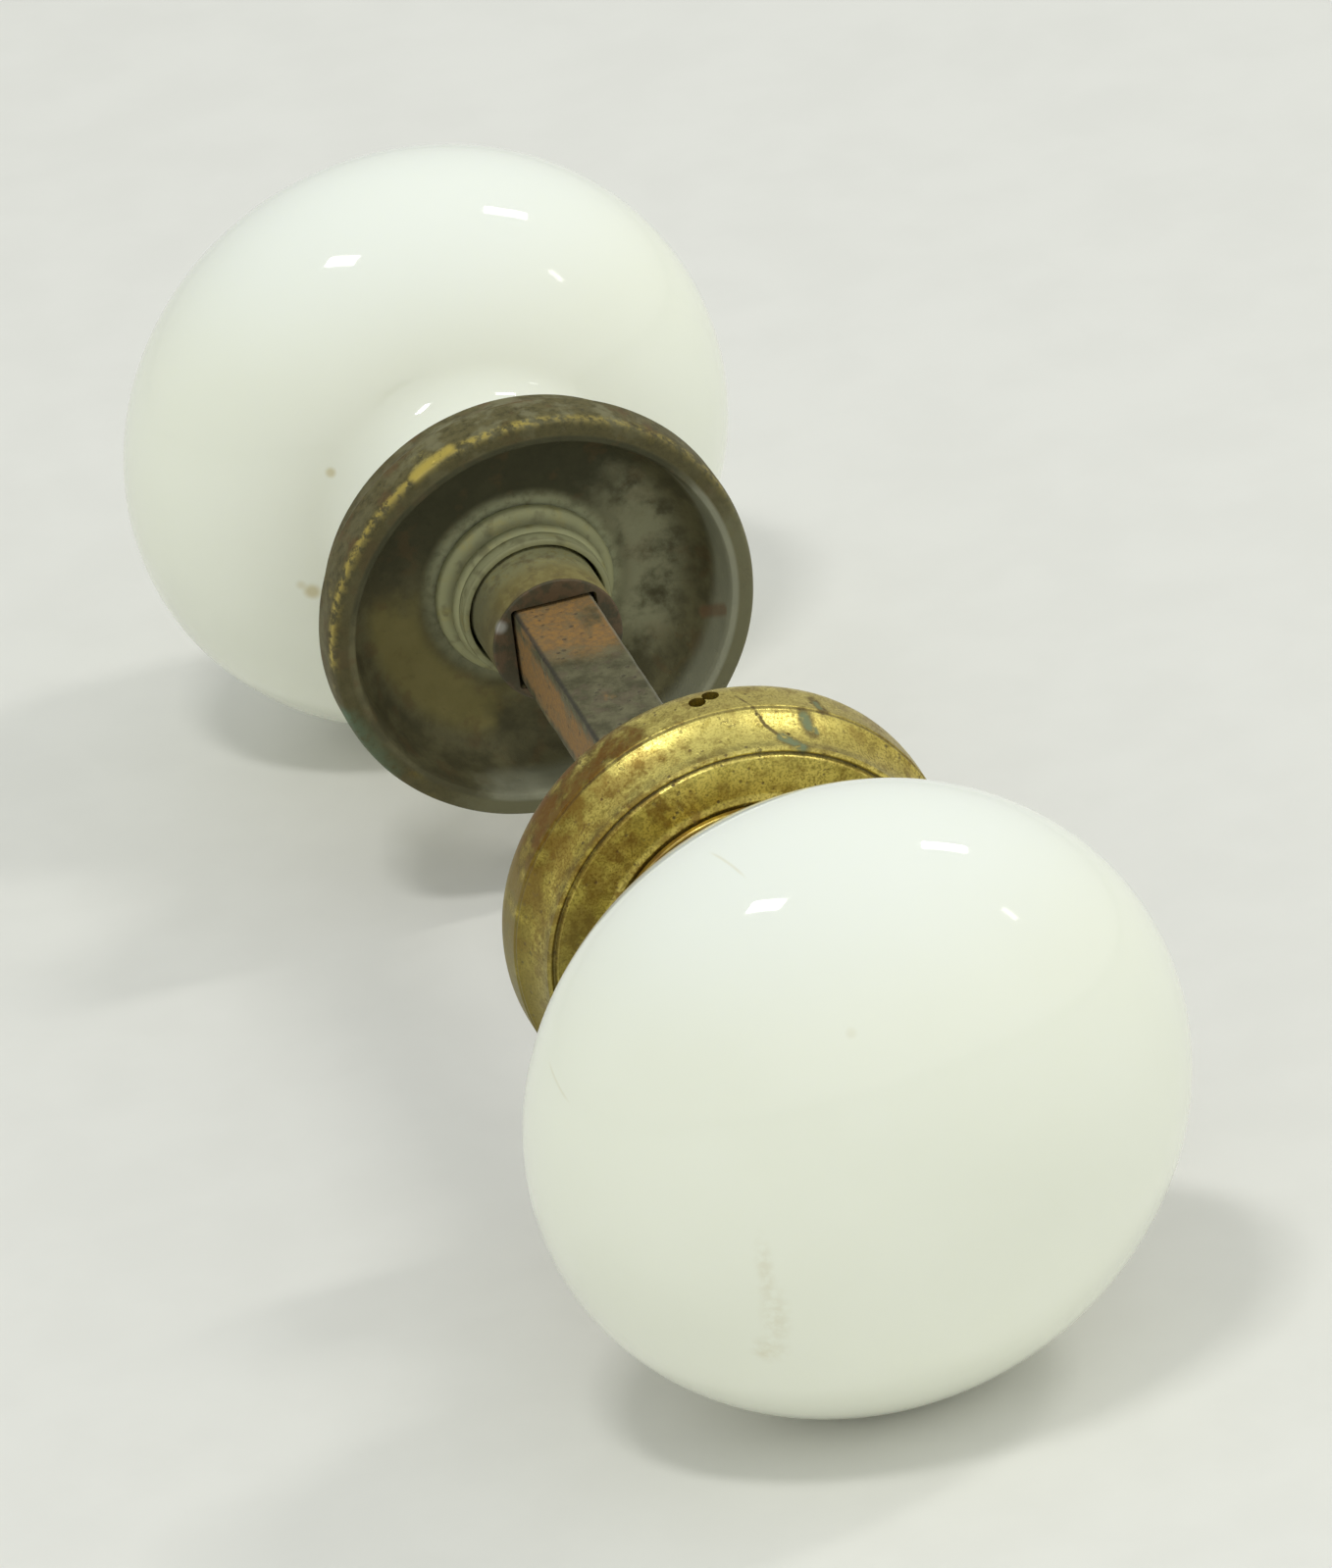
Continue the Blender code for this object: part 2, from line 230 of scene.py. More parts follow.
def turned(name, outline, closed, steps, side):
    """Turn an outline of (radius, height) about Y; side is FAR or NEAR."""
    verts = []
    rings = []
    for radius, height in outline:
        if radius < 1e-4:
            rings.append([len(verts)] * steps)
            verts.append((0.0, side * height * MM, 0.0))
            continue
        rings.append(list(range(len(verts), len(verts) + steps)))
        for k in range(steps):
            angle = 2 * math.pi * k / steps
            x = radius * math.cos(angle)
            z = radius * math.sin(angle)
            verts.append((x * MM, side * height * MM, z * MM))
    pairs = list(zip(rings, rings[1:]))
    if closed:
        pairs.append((rings[-1], rings[0]))
    faces = []
    for a, b in pairs:
        for k in range(steps):
            n = (k + 1) % steps
            corners = [a[k], a[n], b[n], b[k]]
            face = list(dict.fromkeys(corners))
            if len(face) > 2:
                faces.append(face)
    return mesh_object(name, verts, faces)


def worn(obj, depth, wavelength, seed):
    """Sink the surface unevenly, by up to depth millimetres, never outwards."""
    mesh = obj.data
    shift = Vector((seed * 17.3, seed * 5.1, seed * 9.7))
    moves = []
    for vert in mesh.vertices:
        point = vert.co / (wavelength * MM) + shift
        sink = 0.5 + 0.5 * noise.noise(point) + 0.2 * noise.noise(point * 2.7)
        moves.append(vert.co - vert.normal * (depth * MM * min(max(sink, 0.0), 1.0)))
    for vert, place in zip(mesh.vertices, moves):
        vert.co = place
    mesh.update()
    smooth(obj)
    return obj


def baked(obj):
    """Apply the modifiers and remove them."""
    bpy.context.view_layer.update()
    evaluated = obj.evaluated_get(bpy.context.evaluated_depsgraph_get())
    mesh = bpy.data.meshes.new_from_object(evaluated)
    obj.modifiers.clear()
    obj.data = mesh
    smooth(obj)
    return obj


def cut(obj, *cutters):
    """Subtract the cutters from the piece and remove them."""
    for cutter in cutters:
        boolean = obj.modifiers.new("cut", "BOOLEAN")
        boolean.operation = "DIFFERENCE"
        boolean.solver = "EXACT"
        boolean.object = cutter
    baked(obj)
    for cutter in cutters:
        bpy.data.objects.remove(cutter)
    return obj


def rod(name, radius, start, end, steps, ease=0.0):
    """A plain round rod along Y."""
    outline = eased([(0.0, end), (radius, end, ease), (radius, start, ease), (0.0, start)], False)
    return turned(name, outline, False, steps, 1)


def stand_up(obj, x, y):
    """Turn a rod made along +Y to run along +Z, through (x, y) in millimetres."""
    obj.data.transform(
        Matrix.Translation((x * MM, y * MM, 0.0)) @ Matrix.Rotation(math.pi / 2, 4, "X")
    )
    return obj


def lay_across(obj, y):
    """Turn a rod made along Y to run along X, at y in millimetres."""
    obj.data.transform(
        Matrix.Translation((0.0, y * MM, 0.0)) @ Matrix.Rotation(-math.pi / 2, 4, "Z")
    )
    return obj


def square_bar(name, side, ease, start, end, step, chamfer):
    """A square bar along Y with rounded edges and eased ends, divided along its length."""
    half = side / 2
    outline = []
    for quarter in range(4):
        centre_angle = math.radians(45 + 90 * quarter)
        centre = ((half - ease) * math.copysign(1, math.cos(centre_angle)),
                  (half - ease) * math.copysign(1, math.sin(centre_angle)))
        outline += arc(centre, ease, 90 * quarter, 90 * quarter + 90, 4)
    outline = filled(outline, True, step)
    count = math.ceil((end - start) / step)
    stations = [(start, (half - chamfer) / half), (start + chamfer, 1.0)]
    for i in range(1, count):
        stations.append((start + (end - start) * i / count, 1.0))
    stations += [(end - chamfer, 1.0), (end, (half - chamfer) / half)]
    verts = []
    for y, scale in stations:
        verts += [(x * scale * MM, y * MM, z * scale * MM) for x, z in outline]
    n = len(outline)
    faces = [list(range(n)), list(range(len(verts) - n, len(verts)))]
    for i in range(len(stations) - 1):
        for k in range(n):
            a = i * n + k
            b = i * n + (k + 1) % n
            faces.append([a, b, b + n, a + n])
    return mesh_object(name, verts, faces)


# ---- material helper


class Finish:
    """A node material.  Values are numbers, colours or sockets; positions are in millimetres."""

    def __init__(self, name):
        """Start a material and its position, radius and height in millimetres."""
        self.material = bpy.data.materials.new(name)
        self.material.use_nodes = True
        self.nodes = self.material.node_tree.nodes
        self.links = self.material.node_tree.links
        self.shader = self.nodes["Principled BSDF"]
        place = self.node("TexCoord").outputs["Object"]
        self.point = self.node("VectorMath", "SCALE", Vector=place, Scale=1 / MM).outputs[0]
        self.x, self.y, self.z = self.node("SeparateXYZ", Vector=self.point).outputs
        across = self.math("ADD", self.product(self.x, self.x), self.product(self.z, self.z))
        self.radius = self.math("SQRT", across)
        self.height = self.math("ABSOLUTE", self.y)

    def put(self, value, socket):
        """Link a socket to an input, or set the input to a constant."""
        if isinstance(value, bpy.types.NodeSocket):
            self.links.new(value, socket)
        elif isinstance(value, tuple) and socket.type == "RGBA":
            socket.default_value = (*value, 1.0)
        else:
            socket.default_value = value

    def node(self, kind, operation=None, **inputs):
        """A new shader node with some of its inputs set."""
        node = self.nodes.new("ShaderNode" + kind)
        if operation is not None:
            node.operation = operation
        for name, value in inputs.items():
            self.put(value, node.inputs[name])
        return node

    def math(self, operation, a, b=0.0):
        """One number from one or two others."""
        node = self.node("Math", operation)
        for value, socket in zip((a, b), node.inputs):
            self.put(value, socket)
        return node.outputs[0]

    def product(self, *values):
        """All the values multiplied."""
        result = values[0]
        for value in values[1:]:
            result = self.math("MULTIPLY", result, value)
        return result

    def either(self, *values):
        """The largest of the values."""
        result = values[0]
        for value in values[1:]:
            result = self.math("MAXIMUM", result, value)
        return result

    def grade(self, value, low, high):
        """Smooth step from low to high; low may be the larger, for a falling step."""
        node = self.node("MapRange", None, **{"Value": value, "From Min": low, "From Max": high})
        node.interpolation_type = "SMOOTHSTEP"
        return node.outputs["Result"]

    def line(self, value, at, width):
        """1 where the value is close to at, falling to 0 at width away."""
        return self.grade(self.math("ABSOLUTE", self.math("SUBTRACT", value, at)), width, 0.0)

    def noise(self, wavelength, detail=3.0, seed=0.0, roughness=0.5, stretch=(1.0, 1.0, 1.0)):
        """Cloudy noise from 0 to 1, about one blob every wavelength."""
        shift = (seed * 31.7, seed * 12.9, seed * 7.3)
        place = self.node("Mapping", Vector=self.point, Location=shift, Scale=stretch).outputs[0]
        node = self.node("TexNoise", Vector=place, Scale=1 / wavelength, Detail=detail)
        node.inputs["Roughness"].default_value = roughness
        return node.outputs["Fac"]

    def ring_noise(self, wavelength, along, detail=2.0, seed=0.0):
        """Noise that follows the turning: it hardly varies round the axis."""
        out = self.math("ADD", self.radius, seed * 3.7)
        turn = self.product(self.math("ARCTAN2", self.x, self.z), along)
        place = self.node("CombineXYZ", X=out, Y=self.height, Z=turn).outputs[0]
        node = self.node("TexNoise", Vector=place, Scale=1 / wavelength, Detail=detail)
        return node.outputs["Fac"]

    def specks(self, spacing, size, seed=0.0):
        """1 in small round specks, about one in every cell of the spacing."""
        shift = (seed * 11.1, seed * 23.3, seed * 5.7)
        place = self.node("Mapping", Vector=self.point, Location=shift).outputs[0]
        away = self.node("TexVoronoi", Vector=place, Scale=1 / spacing).outputs["Distance"]
        return self.grade(away, size / spacing, 0.4 * size / spacing)

    def spot(self, centre, radius, soft=0.5, stretch=(1.0, 1.0, 1.0)):
        """1 within an ellipsoid about a point; stretch narrows it, and its edge fades over soft."""
        offset = self.vector("MULTIPLY", self.vector("SUBTRACT", self.point, centre), stretch)
        return self.grade(self.vector("LENGTH", offset), radius * (1 + soft), radius * (1 - soft))

    def stroke(self, start, end, width, soft=0.5):
        """1 along a straight stroke between two points in millimetres."""
        start, end = Vector(start), Vector(end)
        along = end - start
        offset = self.vector("SUBTRACT", self.point, tuple(start))
        share = self.vector("DOT_PRODUCT", offset, tuple(along / along.length_squared))
        share = self.math("MINIMUM", self.math("MAXIMUM", share, 0.0), 1.0)
        ahead = self.node("VectorMath", "SCALE", Vector=tuple(along), Scale=share).outputs[0]
        length = self.vector("LENGTH", self.vector("SUBTRACT", offset, ahead))
        return self.grade(length, width * (1 + soft), width * (1 - soft))

    def sector(self, angle, half, soft, rough=None):
        """1 within half degrees of an angle about Y, which is measured from +Z towards +X."""
        turn = math.radians(angle)
        along = self.math(
            "ADD", self.product(self.x, math.sin(turn)), self.product(self.z, math.cos(turn))
        )
        share = self.math("DIVIDE", along, self.radius)
        if rough is not None:
            share = self.math("ADD", share, self.product(self.math("SUBTRACT", rough, 0.5), 0.6))
        return self.grade(share, math.cos(math.radians(half + soft)), math.cos(math.radians(half)))

    def between(self, value, low, high, soft):
        """1 where the value lies between low and high."""
        return self.product(
            self.grade(value, low - soft, low + soft), self.grade(value, high + soft, high - soft)
        )

    def vector(self, operation, a, b=None):
        """A vector, or a number where the operation gives one."""
        node = self.node("VectorMath", operation)
        self.put(a, node.inputs[0])
        if b is not None:
            self.put(b, node.inputs[1])
        return node.outputs["Value" if operation in ("DOT_PRODUCT", "LENGTH") else "Vector"]

    def mix(self, factor, a, b):
        """Mix two colours; inputs 6 and 7 are the node's colour sockets."""
        node = self.node("Mix")
        node.data_type = "RGBA"
        self.put(factor, node.inputs[0])
        self.put(a, node.inputs[6])
        self.put(b, node.inputs[7])
        return node.outputs[2]

    def over(self, colour, tint, *masks):
        """Lay a tint over a colour, where all the masks are 1."""
        return self.mix(self.product(*masks), colour, tint)

    def blend(self, factor, a, b):
        """Mix two numbers."""
        node = self.node("Mix")
        self.put(factor, node.inputs[0])
        self.put(a, node.inputs[2])
        self.put(b, node.inputs[3])
        return node.outputs[0]

    def bump(self, value, depth, normal=None):
        """Relief of the given depth in millimetres for a value that runs from 0 to 1."""
        node = self.node("Bump", Distance=depth * MM, Height=value)
        if normal is not None:
            self.links.new(normal, node.inputs["Normal"])
        return node.outputs[0]

    def set(self, colour, roughness, metallic, **others):
        """Set the shader's inputs, the others by name with _ for a space; return the material."""
        inputs = {"Base_Color": colour, "Roughness": roughness, "Metallic": metallic, **others}
        for name, value in inputs.items():
            self.put(value, self.shader.inputs[name.replace("_", " ")])
        return self.material


# ---- materials


def knob_white(name, side):
    """Milk-white glaze, faintly green, with a few old stains, an uneven polish and a painted cooler
    tint of light on the top.
    """
    f = Finish(name)
    cloud = f.grade(f.noise(16.0, 2.0, 1.0 + side), 0.3, 0.7)
    colour = f.mix(cloud, (0.865, 0.890, 0.765), (0.880, 0.905, 0.785))
    # painted light: a cooler, bluer tint on the top of the knob, where it faces the cool light from
    # above
    high = f.grade(f.z, 14.0, 27.0)
    colour = f.over(colour, (0.860, 0.895, 0.830), high, 0.8)
    for mark, tint, strength in knob_marks(f, side):
        colour = f.over(colour, tint, mark, strength)
    scuffs = f.grade(f.noise(1.6, 6.0, 4.0, 0.65), 0.62, 0.8)
    roughness = f.math("ADD", f.product(scuffs, 0.10), 0.055)
    ripple = f.bump(f.noise(5.0, 2.0, 2.0), 0.012)
    return f.set(
        colour,
        roughness,
        metallic=0.0,
        Normal=ripple,
        IOR=1.52,
        Subsurface_Weight=0.15,
        Subsurface_Radius=(0.006, 0.006, 0.005),
        Subsurface_Scale=0.4,
        Coat_Weight=0.3,
        Coat_Roughness=0.04,
    )


def knob_marks(f, side):
    """Stains and hairlines: (mask, tint, strength) for each."""
    yellow = (0.62, 0.55, 0.30)
    pale = (0.74, 0.72, 0.56)
    crack = (0.68, 0.64, 0.44)
    ragged = f.noise(0.9, 3.0, 6.0)
    if side == NEAR:
        smear = f.either(
            f.spot((-13.6, -79.9, -4.0), 0.9, 0.8, (1.6, 1.0, 0.30)),
            f.spot((-13.1, -79.3, -8.6), 1.2, 0.8, (1.3, 1.0, 0.40)),
            f.spot((-13.6, -78.0, -12.3), 1.1, 0.8, (0.9, 1.0, 0.8)),
        )
        hair_top = f.product(
            f.spot((-9.1, -66.4, 26.8), 2.0, 0.4),
            f.line(f.math("ADD", f.x, f.product(f.y, 0.35)), -32.3, 0.20),
        )
        hair_left = f.product(
            f.spot((-25.8, -67.2, 11.0), 1.8, 0.4),
            f.line(f.math("SUBTRACT", f.z, f.product(f.y, 0.5)), 44.6, 0.20),
        )
        return [
            (f.product(smear, f.grade(ragged, 0.30, 0.65)), pale, 0.55),
            (f.product(f.spot((-13.7, -77.9, -12.6), 0.8, 0.7), ragged), yellow, 0.40),
            (f.spot((-3.8, -79.0, 15.9), 0.40, 0.7), yellow, 0.16),
            (hair_top, crack, 0.40),
            (hair_left, crack, 0.35),
        ]
    return [
        (f.spot((-12.6, 48.8, 7.3), 0.42, 0.6), yellow, 0.7),
        (f.spot((-15.7, 49.5, -4.6), 0.70, 0.6), yellow, 0.8),
        (f.spot((-16.4, 50.2, -3.8), 0.5, 0.6), yellow, 0.6),
    ]


def around(side, angle, radius, height):
    """A point at an angle in degrees from +Z towards +X."""
    turn = math.radians(angle)
    return (radius * math.sin(turn), side * height, radius * math.cos(turn))


def aged_gold(f, seed):
    """Old brass with brown clouds, grain and dark pits, and a painted highlight of bright gold on
    the top; returns its colour and its masks.
    """
    cloud = f.noise(4.5, 6.0, 3.0 + seed, 0.62)
    fine = f.noise(0.8, 5.0, 5.0 + seed, 0.62)
    grain = f.noise(0.20, 2.0, 6.0 + seed, 0.5)
    gold = f.mix(f.grade(cloud, 0.3, 0.7), (0.50, 0.395, 0.080), (0.70, 0.570, 0.145))
    # painted highlight: brighter gold on the top of the piece, where the light from above falls
    top = f.product(f.grade(f.z, 13.5, 18.5), f.grade(fine, 0.25, 0.55), 0.8)
    gold = f.over(gold, (0.92, 0.78, 0.23), top)
    gold = f.over(gold, (0.28, 0.21, 0.045), f.grade(fine, 0.46, 0.66), 0.65)
    gold = f.over(gold, (0.19, 0.14, 0.03), f.grade(grain, 0.46, 0.64), 0.60)
    # the painted highlight on the top again, laid over the dark grain
    gold = f.over(gold, (0.93, 0.81, 0.25), top, 0.45)
    pits = f.product(f.specks(1.0, 0.22, 2.0 + seed), f.grade(f.noise(2.6, 3.0, 12.0), 0.44, 0.56))
    blots = f.product(
        f.grade(f.noise(0.9, 4.0, 13.0 + seed, 0.7), 0.60, 0.68), f.grade(cloud, 0.42, 0.55)
    )
    dirt = f.either(pits, f.product(blots, 0.8))
    gold = f.over(gold, (0.055, 0.040, 0.020), dirt, 0.8)
    return gold, cloud, fine, grain, dirt


def groove_dirt_and_shade(f):
    """Dirt and painted shade in the groove and under the step at the flank's foot, most of it near
    the top.
    """
    upper = f.sector(8.0, 38.0, 26.0)
    groove = f.product(f.line(f.radius, GROOVE_RADIUS, 0.22), f.grade(f.height, 34.3, 34.7))
    step = f.product(f.line(f.height, BAND_TOP + 0.02, 0.14), f.grade(f.radius, 19.2, 19.4))
    return f.either(
        f.product(groove, f.blend(upper, 0.55, 0.95)), f.product(step, f.blend(upper, 0.05, 0.65))
    )


def near_rose_brass(name):
    """Golden brass: brown and red patina on the outer band, green salts in one place."""
    f = Finish(name)
    gold, _, fine, grain, dirt = aged_gold(f, 0.0)
    ragged = f.noise(2.4, 5.0, 8.0, 0.62)
    band = f.product(f.grade(f.radius, 19.45, 19.62), f.grade(f.height, 31.0, 30.7))
    flank = f.product(f.between(f.height, 30.8, 35.0, 0.1), f.grade(f.radius, 17.5, 17.7))
    edge = f.either(band, f.product(f.grade(f.x, -4.0, -15.0), f.grade(f.height, 33.4, 31.0), 0.75))
    edge = f.either(edge, f.product(band, f.grade(f.height, 29.4, 27.2)))
    brown = f.mix(f.grade(fine, 0.35, 0.65), (0.085, 0.050, 0.005), (0.25, 0.18, 0.035))
    left = f.blend(f.sector(-80.0, 48.0, 34.0, ragged), 0.30, 1.0)
    colour = f.over(gold, brown, edge, left, f.grade(ragged, 0.22, 0.50), 0.88)
    red_zone = f.sector(-47.0, 18.0, 24.0, ragged)
    red = f.product(
        f.grade(ragged, 0.42, 0.60), f.blend(red_zone, 0.12, 1.0), f.blend(band, 0.45, 0.85)
    )
    colour = f.over(colour, (0.19, 0.085, 0.012), red)
    stain = f.product(
        f.grade(f.noise(1.9, 5.0, 10.0, 0.62), 0.50, 0.62),
        f.blend(f.sector(-55.0, 30.0, 30.0, ragged), 0.40, 0.75),
    )
    colour = f.over(colour, (0.22, 0.13, 0.025), stain)
    pale = f.product(f.sector(-95.0, 22.0, 14.0, ragged), f.blend(band, 0.25, 0.75))
    colour = f.over(colour, (0.32, 0.28, 0.10), pale, 0.6)
    olive = f.product(f.grade(f.z, 12.0, -4.0), 0.55)
    colour = f.over(colour, (0.20, 0.17, 0.050), olive)
    shade = f.product(f.between(f.height, 34.0, 35.2, 0.35), flank, f.grade(fine, 0.25, 0.6), 0.35)
    colour = f.over(colour, (0.17, 0.145, 0.055), shade)
    # dark lines in the groove and under the step: dirt, with painted shade
    dirt_and_shade_lines = groove_dirt_and_shade(f)
    colour = f.over(colour, (0.050, 0.036, 0.018), dirt_and_shade_lines, 0.85)
    trail, green = near_rose_trails(f)
    colour = f.over(colour, (0.095, 0.060, 0.018), trail, 0.85)
    colour = f.over(colour, (0.20, 0.25, 0.135), green, 0.85)
    inside = inside_mask(f)
    colour = f.over(colour, near_hollow(f), inside)
    dull = f.either(
        inside, green, f.product(trail, 0.7), f.product(dirt_and_shade_lines, 0.8), f.product(dirt, 0.6)
    )
    return rose_surface(f, colour, dull, f.product(edge, left, 0.6), red, fine, grain, dirt, inside)


def strokes(f, side, *rows):
    """The strongest of some strokes: start, end, width, softness and strength of each.

    The ends are given by their angle, radius and height.
    """
    return f.either(*(
        f.product(f.stroke(around(side, *start), around(side, *end), width, soft), strength)
        for start, end, width, soft, strength in rows
    ))


def near_rose_trails(f):
    """Where water ran down the flank: a thin brown trail, and green salts at its end."""
    fork = (10.6, 19.60, 30.6)
    bend = (12.5, 18.75, 32.3)
    pool = (16.2, 18.25, 33.7)
    top = (20.6, 18.03, 34.8)
    ragged = f.grade(f.noise(0.7, 4.0, 20.0, 0.62), 0.32, 0.52)
    trail = strokes(
        f, NEAR,
        (fork, bend, 0.16, 0.5, 1.0),
        (bend, pool, 0.20, 0.5, 1.0),
        ((28.3, 19.8, 28.6), (29.5, 19.7, 30.6), 0.55, 0.5, 1.0),
        ((8.0, 19.8, 28.6), fork, 0.12, 0.5, 1.0),
        (pool, top, 0.75, 0.5, 0.9),
        ((23.6, 19.4, 31.1), (25.2, 18.6, 32.9), 0.75, 0.5, 0.9),
    )
    green = strokes(
        f, NEAR,
        (pool, top, 0.50, 0.5, 1.0),
        ((23.8, 19.3, 31.4), (24.6, 18.9, 32.3), 0.46, 0.5, 1.0),
        ((26.2, 18.8, 32.2), (26.6, 18.6, 32.7), 0.24, 0.5, 0.8),
        ((28.6, 19.8, 29.2), (28.8, 19.75, 30.0), 0.30, 0.5, 0.8),
    )
    return f.product(trail, f.blend(ragged, 0.4, 1.0)), f.product(green, ragged)


def inside_mask(f):
    """1 in the hollow of a rose."""
    return f.product(f.grade(f.radius, 18.3, 17.9), f.grade(f.height, 33.5, 33.2))


def near_hollow(f):
    """The hollow of the near rose, which faces the door."""
    cloud = f.noise(4.0, 5.0, 14.0, 0.6)
    colour = f.mix(f.grade(cloud, 0.4, 0.65), (0.075, 0.068, 0.038), (0.19, 0.17, 0.09))
    colour = f.over(colour, (0.16, 0.09, 0.04), f.grade(f.noise(5.0, 4.0, 15.0), 0.52, 0.68), 0.5)
    return f.over(
        colour, (0.30, 0.30, 0.22), f.grade(f.radius, 12.0, 8.5), f.grade(cloud, 0.3, 0.6), 0.7
    )


def far_hollow(f):
    """The hollow of the far rose: painted shade above, ochre left, a pale bloom right and at the
    hub.
    """
    cloud = f.noise(3.2, 5.0, 14.0, 0.6)
    fine = f.noise(0.9, 4.0, 15.0, 0.6)
    ragged = f.noise(5.0, 4.0, 16.0, 0.6)
    colour = f.mix(f.grade(cloud, 0.38, 0.64), (0.085, 0.077, 0.034), (0.145, 0.132, 0.062))
    ochre = f.product(f.sector(-122.0, 24.0, 26.0, ragged), f.between(f.radius, 9.8, 14.6, 1.0))
    colour = f.over(colour, (0.27, 0.23, 0.075), ochre, 0.70)
    # painted shade: the top of the hollow darkened, where its wall faces down and away from the
    # light
    dark = f.product(f.sector(-8.0, 40.0, 38.0, ragged), f.grade(f.radius, 8.4, 10.0))
    colour = f.over(colour, (0.044, 0.044, 0.018), dark, 0.80)
    rust = f.grade(f.noise(3.0, 4.0, 17.0, 0.55), 0.54, 0.66)
    colour = f.over(colour, (0.13, 0.080, 0.030), rust, 0.35)
    bloom = f.product(
        f.sector(92.0, 22.0, 34.0, ragged),
        f.between(f.radius, 9.5, 14.5, 1.4),
        f.grade(cloud, 0.30, 0.58),
    )
    colour = f.over(colour, (0.43, 0.43, 0.27), bloom, 0.62)
    hub = f.product(f.grade(f.radius, 9.9, 8.3), f.blend(f.grade(fine, 0.3, 0.6), 0.5, 0.95))
    colour = f.over(colour, (0.42, 0.43, 0.26), hub, f.blend(f.sector(40.0, 90.0, 50.0), 0.6, 1.0))
    wall = f.product(f.sector(130.0, 62.0, 20.0, ragged), f.grade(f.height, 30.8, 28.6))
    colour = f.over(colour, (0.33, 0.335, 0.24), wall, 0.7)
    streak = strokes(f, FAR, ((104.0, 17.2, 27.4), (110.0, 16.6, 30.6), 0.55, 0.5, 1.0))
    return f.over(colour, (0.20, 0.11, 0.055), streak, 0.6)


def far_rose_brass(name):
    """Brown tarnished brass: rubbed bright in one place on the rim, green at another."""
    f = Finish(name)
    gold, cloud, fine, grain, dirt = aged_gold(f, 4.0)
    ragged = f.noise(2.8, 5.0, 18.0, 0.62)
    brown = f.mix(f.grade(fine, 0.35, 0.65), (0.045, 0.039, 0.012), (0.105, 0.090, 0.034))
    tarnish = f.grade(cloud, 0.18, 0.42)
    colour = f.over(gold, brown, tarnish, 0.94)
    grey = f.product(f.grade(ragged, 0.46, 0.60), 0.65)
    colour = f.over(
        colour, (0.235, 0.222, 0.118), grey, f.blend(f.sector(4.0, 22.0, 20.0), 0.35, 1.0)
    )
    red = f.product(f.grade(f.noise(3.4, 5.0, 19.0, 0.6), 0.54, 0.66), 0.55)
    colour = f.over(colour, (0.13, 0.070, 0.022), red)
    rim = f.grade(f.height, 27.0, 26.5)
    colour = f.over(colour, (0.090, 0.080, 0.034), rim, 0.6)
    low_rim = f.product(rim, f.sector(140.0, 60.0, 25.0, ragged))
    colour = f.over(colour, (0.185, 0.180, 0.100), low_rim, 0.7)
    bright = strokes(f, FAR, ((-30.0, 19.5, 26.9), (-19.0, 19.7, 27.1), 0.55, 0.7, 1.0))
    edge_line = f.product(f.between(f.height, 26.4, 27.1, 0.35), f.grade(f.radius, 18.8, 19.3))
    scratches = f.either(
        f.product(f.sector(-42.0, 42.0, 14.0, ragged), 0.85),
        f.product(f.sector(40.0, 30.0, 14.0, ragged), 0.45),
    )
    rubbed = f.either(
        f.product(bright, f.grade(fine, 0.25, 0.45)),
        f.product(edge_line, scratches, f.grade(fine, 0.42, 0.60), 0.8),
    )
    colour = f.over(colour, (0.60, 0.47, 0.11), rubbed)
    # dark lines in the groove and under the step: dirt, with painted shade
    dirt_and_shade_lines = groove_dirt_and_shade(f)
    colour = f.over(colour, (0.045, 0.034, 0.018), dirt_and_shade_lines, 0.85)
    salt = f.noise(0.8, 4.0, 20.0, 0.6)
    green = strokes(
        f, FAR,
        ((-112.0, 19.7, 29.6), (-105.0, 19.7, 26.8), 0.9, 0.8, 1.0),
        ((-126.0, 19.6, 27.0), (-108.0, 19.6, 26.6), 1.0, 0.8, 0.7),
    )
    green = f.product(green, f.grade(salt, 0.25, 0.55))
    inside = inside_mask(f)
    colour = f.over(colour, far_hollow(f), inside)
    colour = f.over(colour, (0.115, 0.185, 0.115), green, 0.85)
    dull = f.either(
        inside, green, f.product(dirt_and_shade_lines, 0.8), f.product(dirt, 0.8),
        f.product(tarnish, f.math("SUBTRACT", 1.0, rubbed), 0.85),
    )
    return rose_surface(f, colour, dull, grey, red, fine, grain, dirt, inside)


def rose_surface(f, colour, dull, worn_dull, red, fine, grain, dirt, inside):
    """Roughness, metal share and relief that both roses have."""
    roughness = f.math("ADD", 0.30, f.product(f.grade(fine, 0.35, 0.70), 0.12))
    roughness = f.math("ADD", roughness, f.product(f.grade(grain, 0.40, 0.70), 0.10))
    roughness = f.blend(f.either(red, worn_dull), roughness, 0.52)
    roughness = f.blend(dull, roughness, 0.74)
    metallic = f.blend(dull, f.blend(red, 1.0, 0.95), 0.35)
    relief = f.bump(f.ring_noise(0.20, 2.0, 3.0, 1.0), 0.007)
    relief = f.bump(grain, 0.010, relief)
    relief = f.bump(fine, 0.020, relief)
    relief = f.bump(f.math("SUBTRACT", 1.0, dirt), 0.030, relief)
    relief = f.bump(f.product(inside, f.noise(1.8, 4.0, 18.0)), 0.12, relief)
    return f.set(colour, roughness, metallic, Normal=relief)


def small_brass(name, seed, bright, dark):
    """Turned brass of the bushes, washers and collars, between a bright and a dark colour."""
    f = Finish(name)
    cloud = f.noise(3.2, 5.0, seed, 0.6)
    fine = f.noise(0.7, 4.0, seed + 3.0, 0.6)
    turning = f.ring_noise(0.18, 1.5, 3.0, seed)
    colour = f.mix(f.grade(cloud, 0.35, 0.65), bright, dark)
    colour = f.over(colour, tuple(0.45 * c for c in dark), f.grade(fine, 0.52, 0.75), 0.6)
    roughness = f.blend(f.grade(cloud, 0.35, 0.65), 0.28, 0.48)
    relief = f.bump(fine, 0.02, f.bump(turning, 0.012))
    return f.set(colour, roughness, 0.95, Normal=relief)


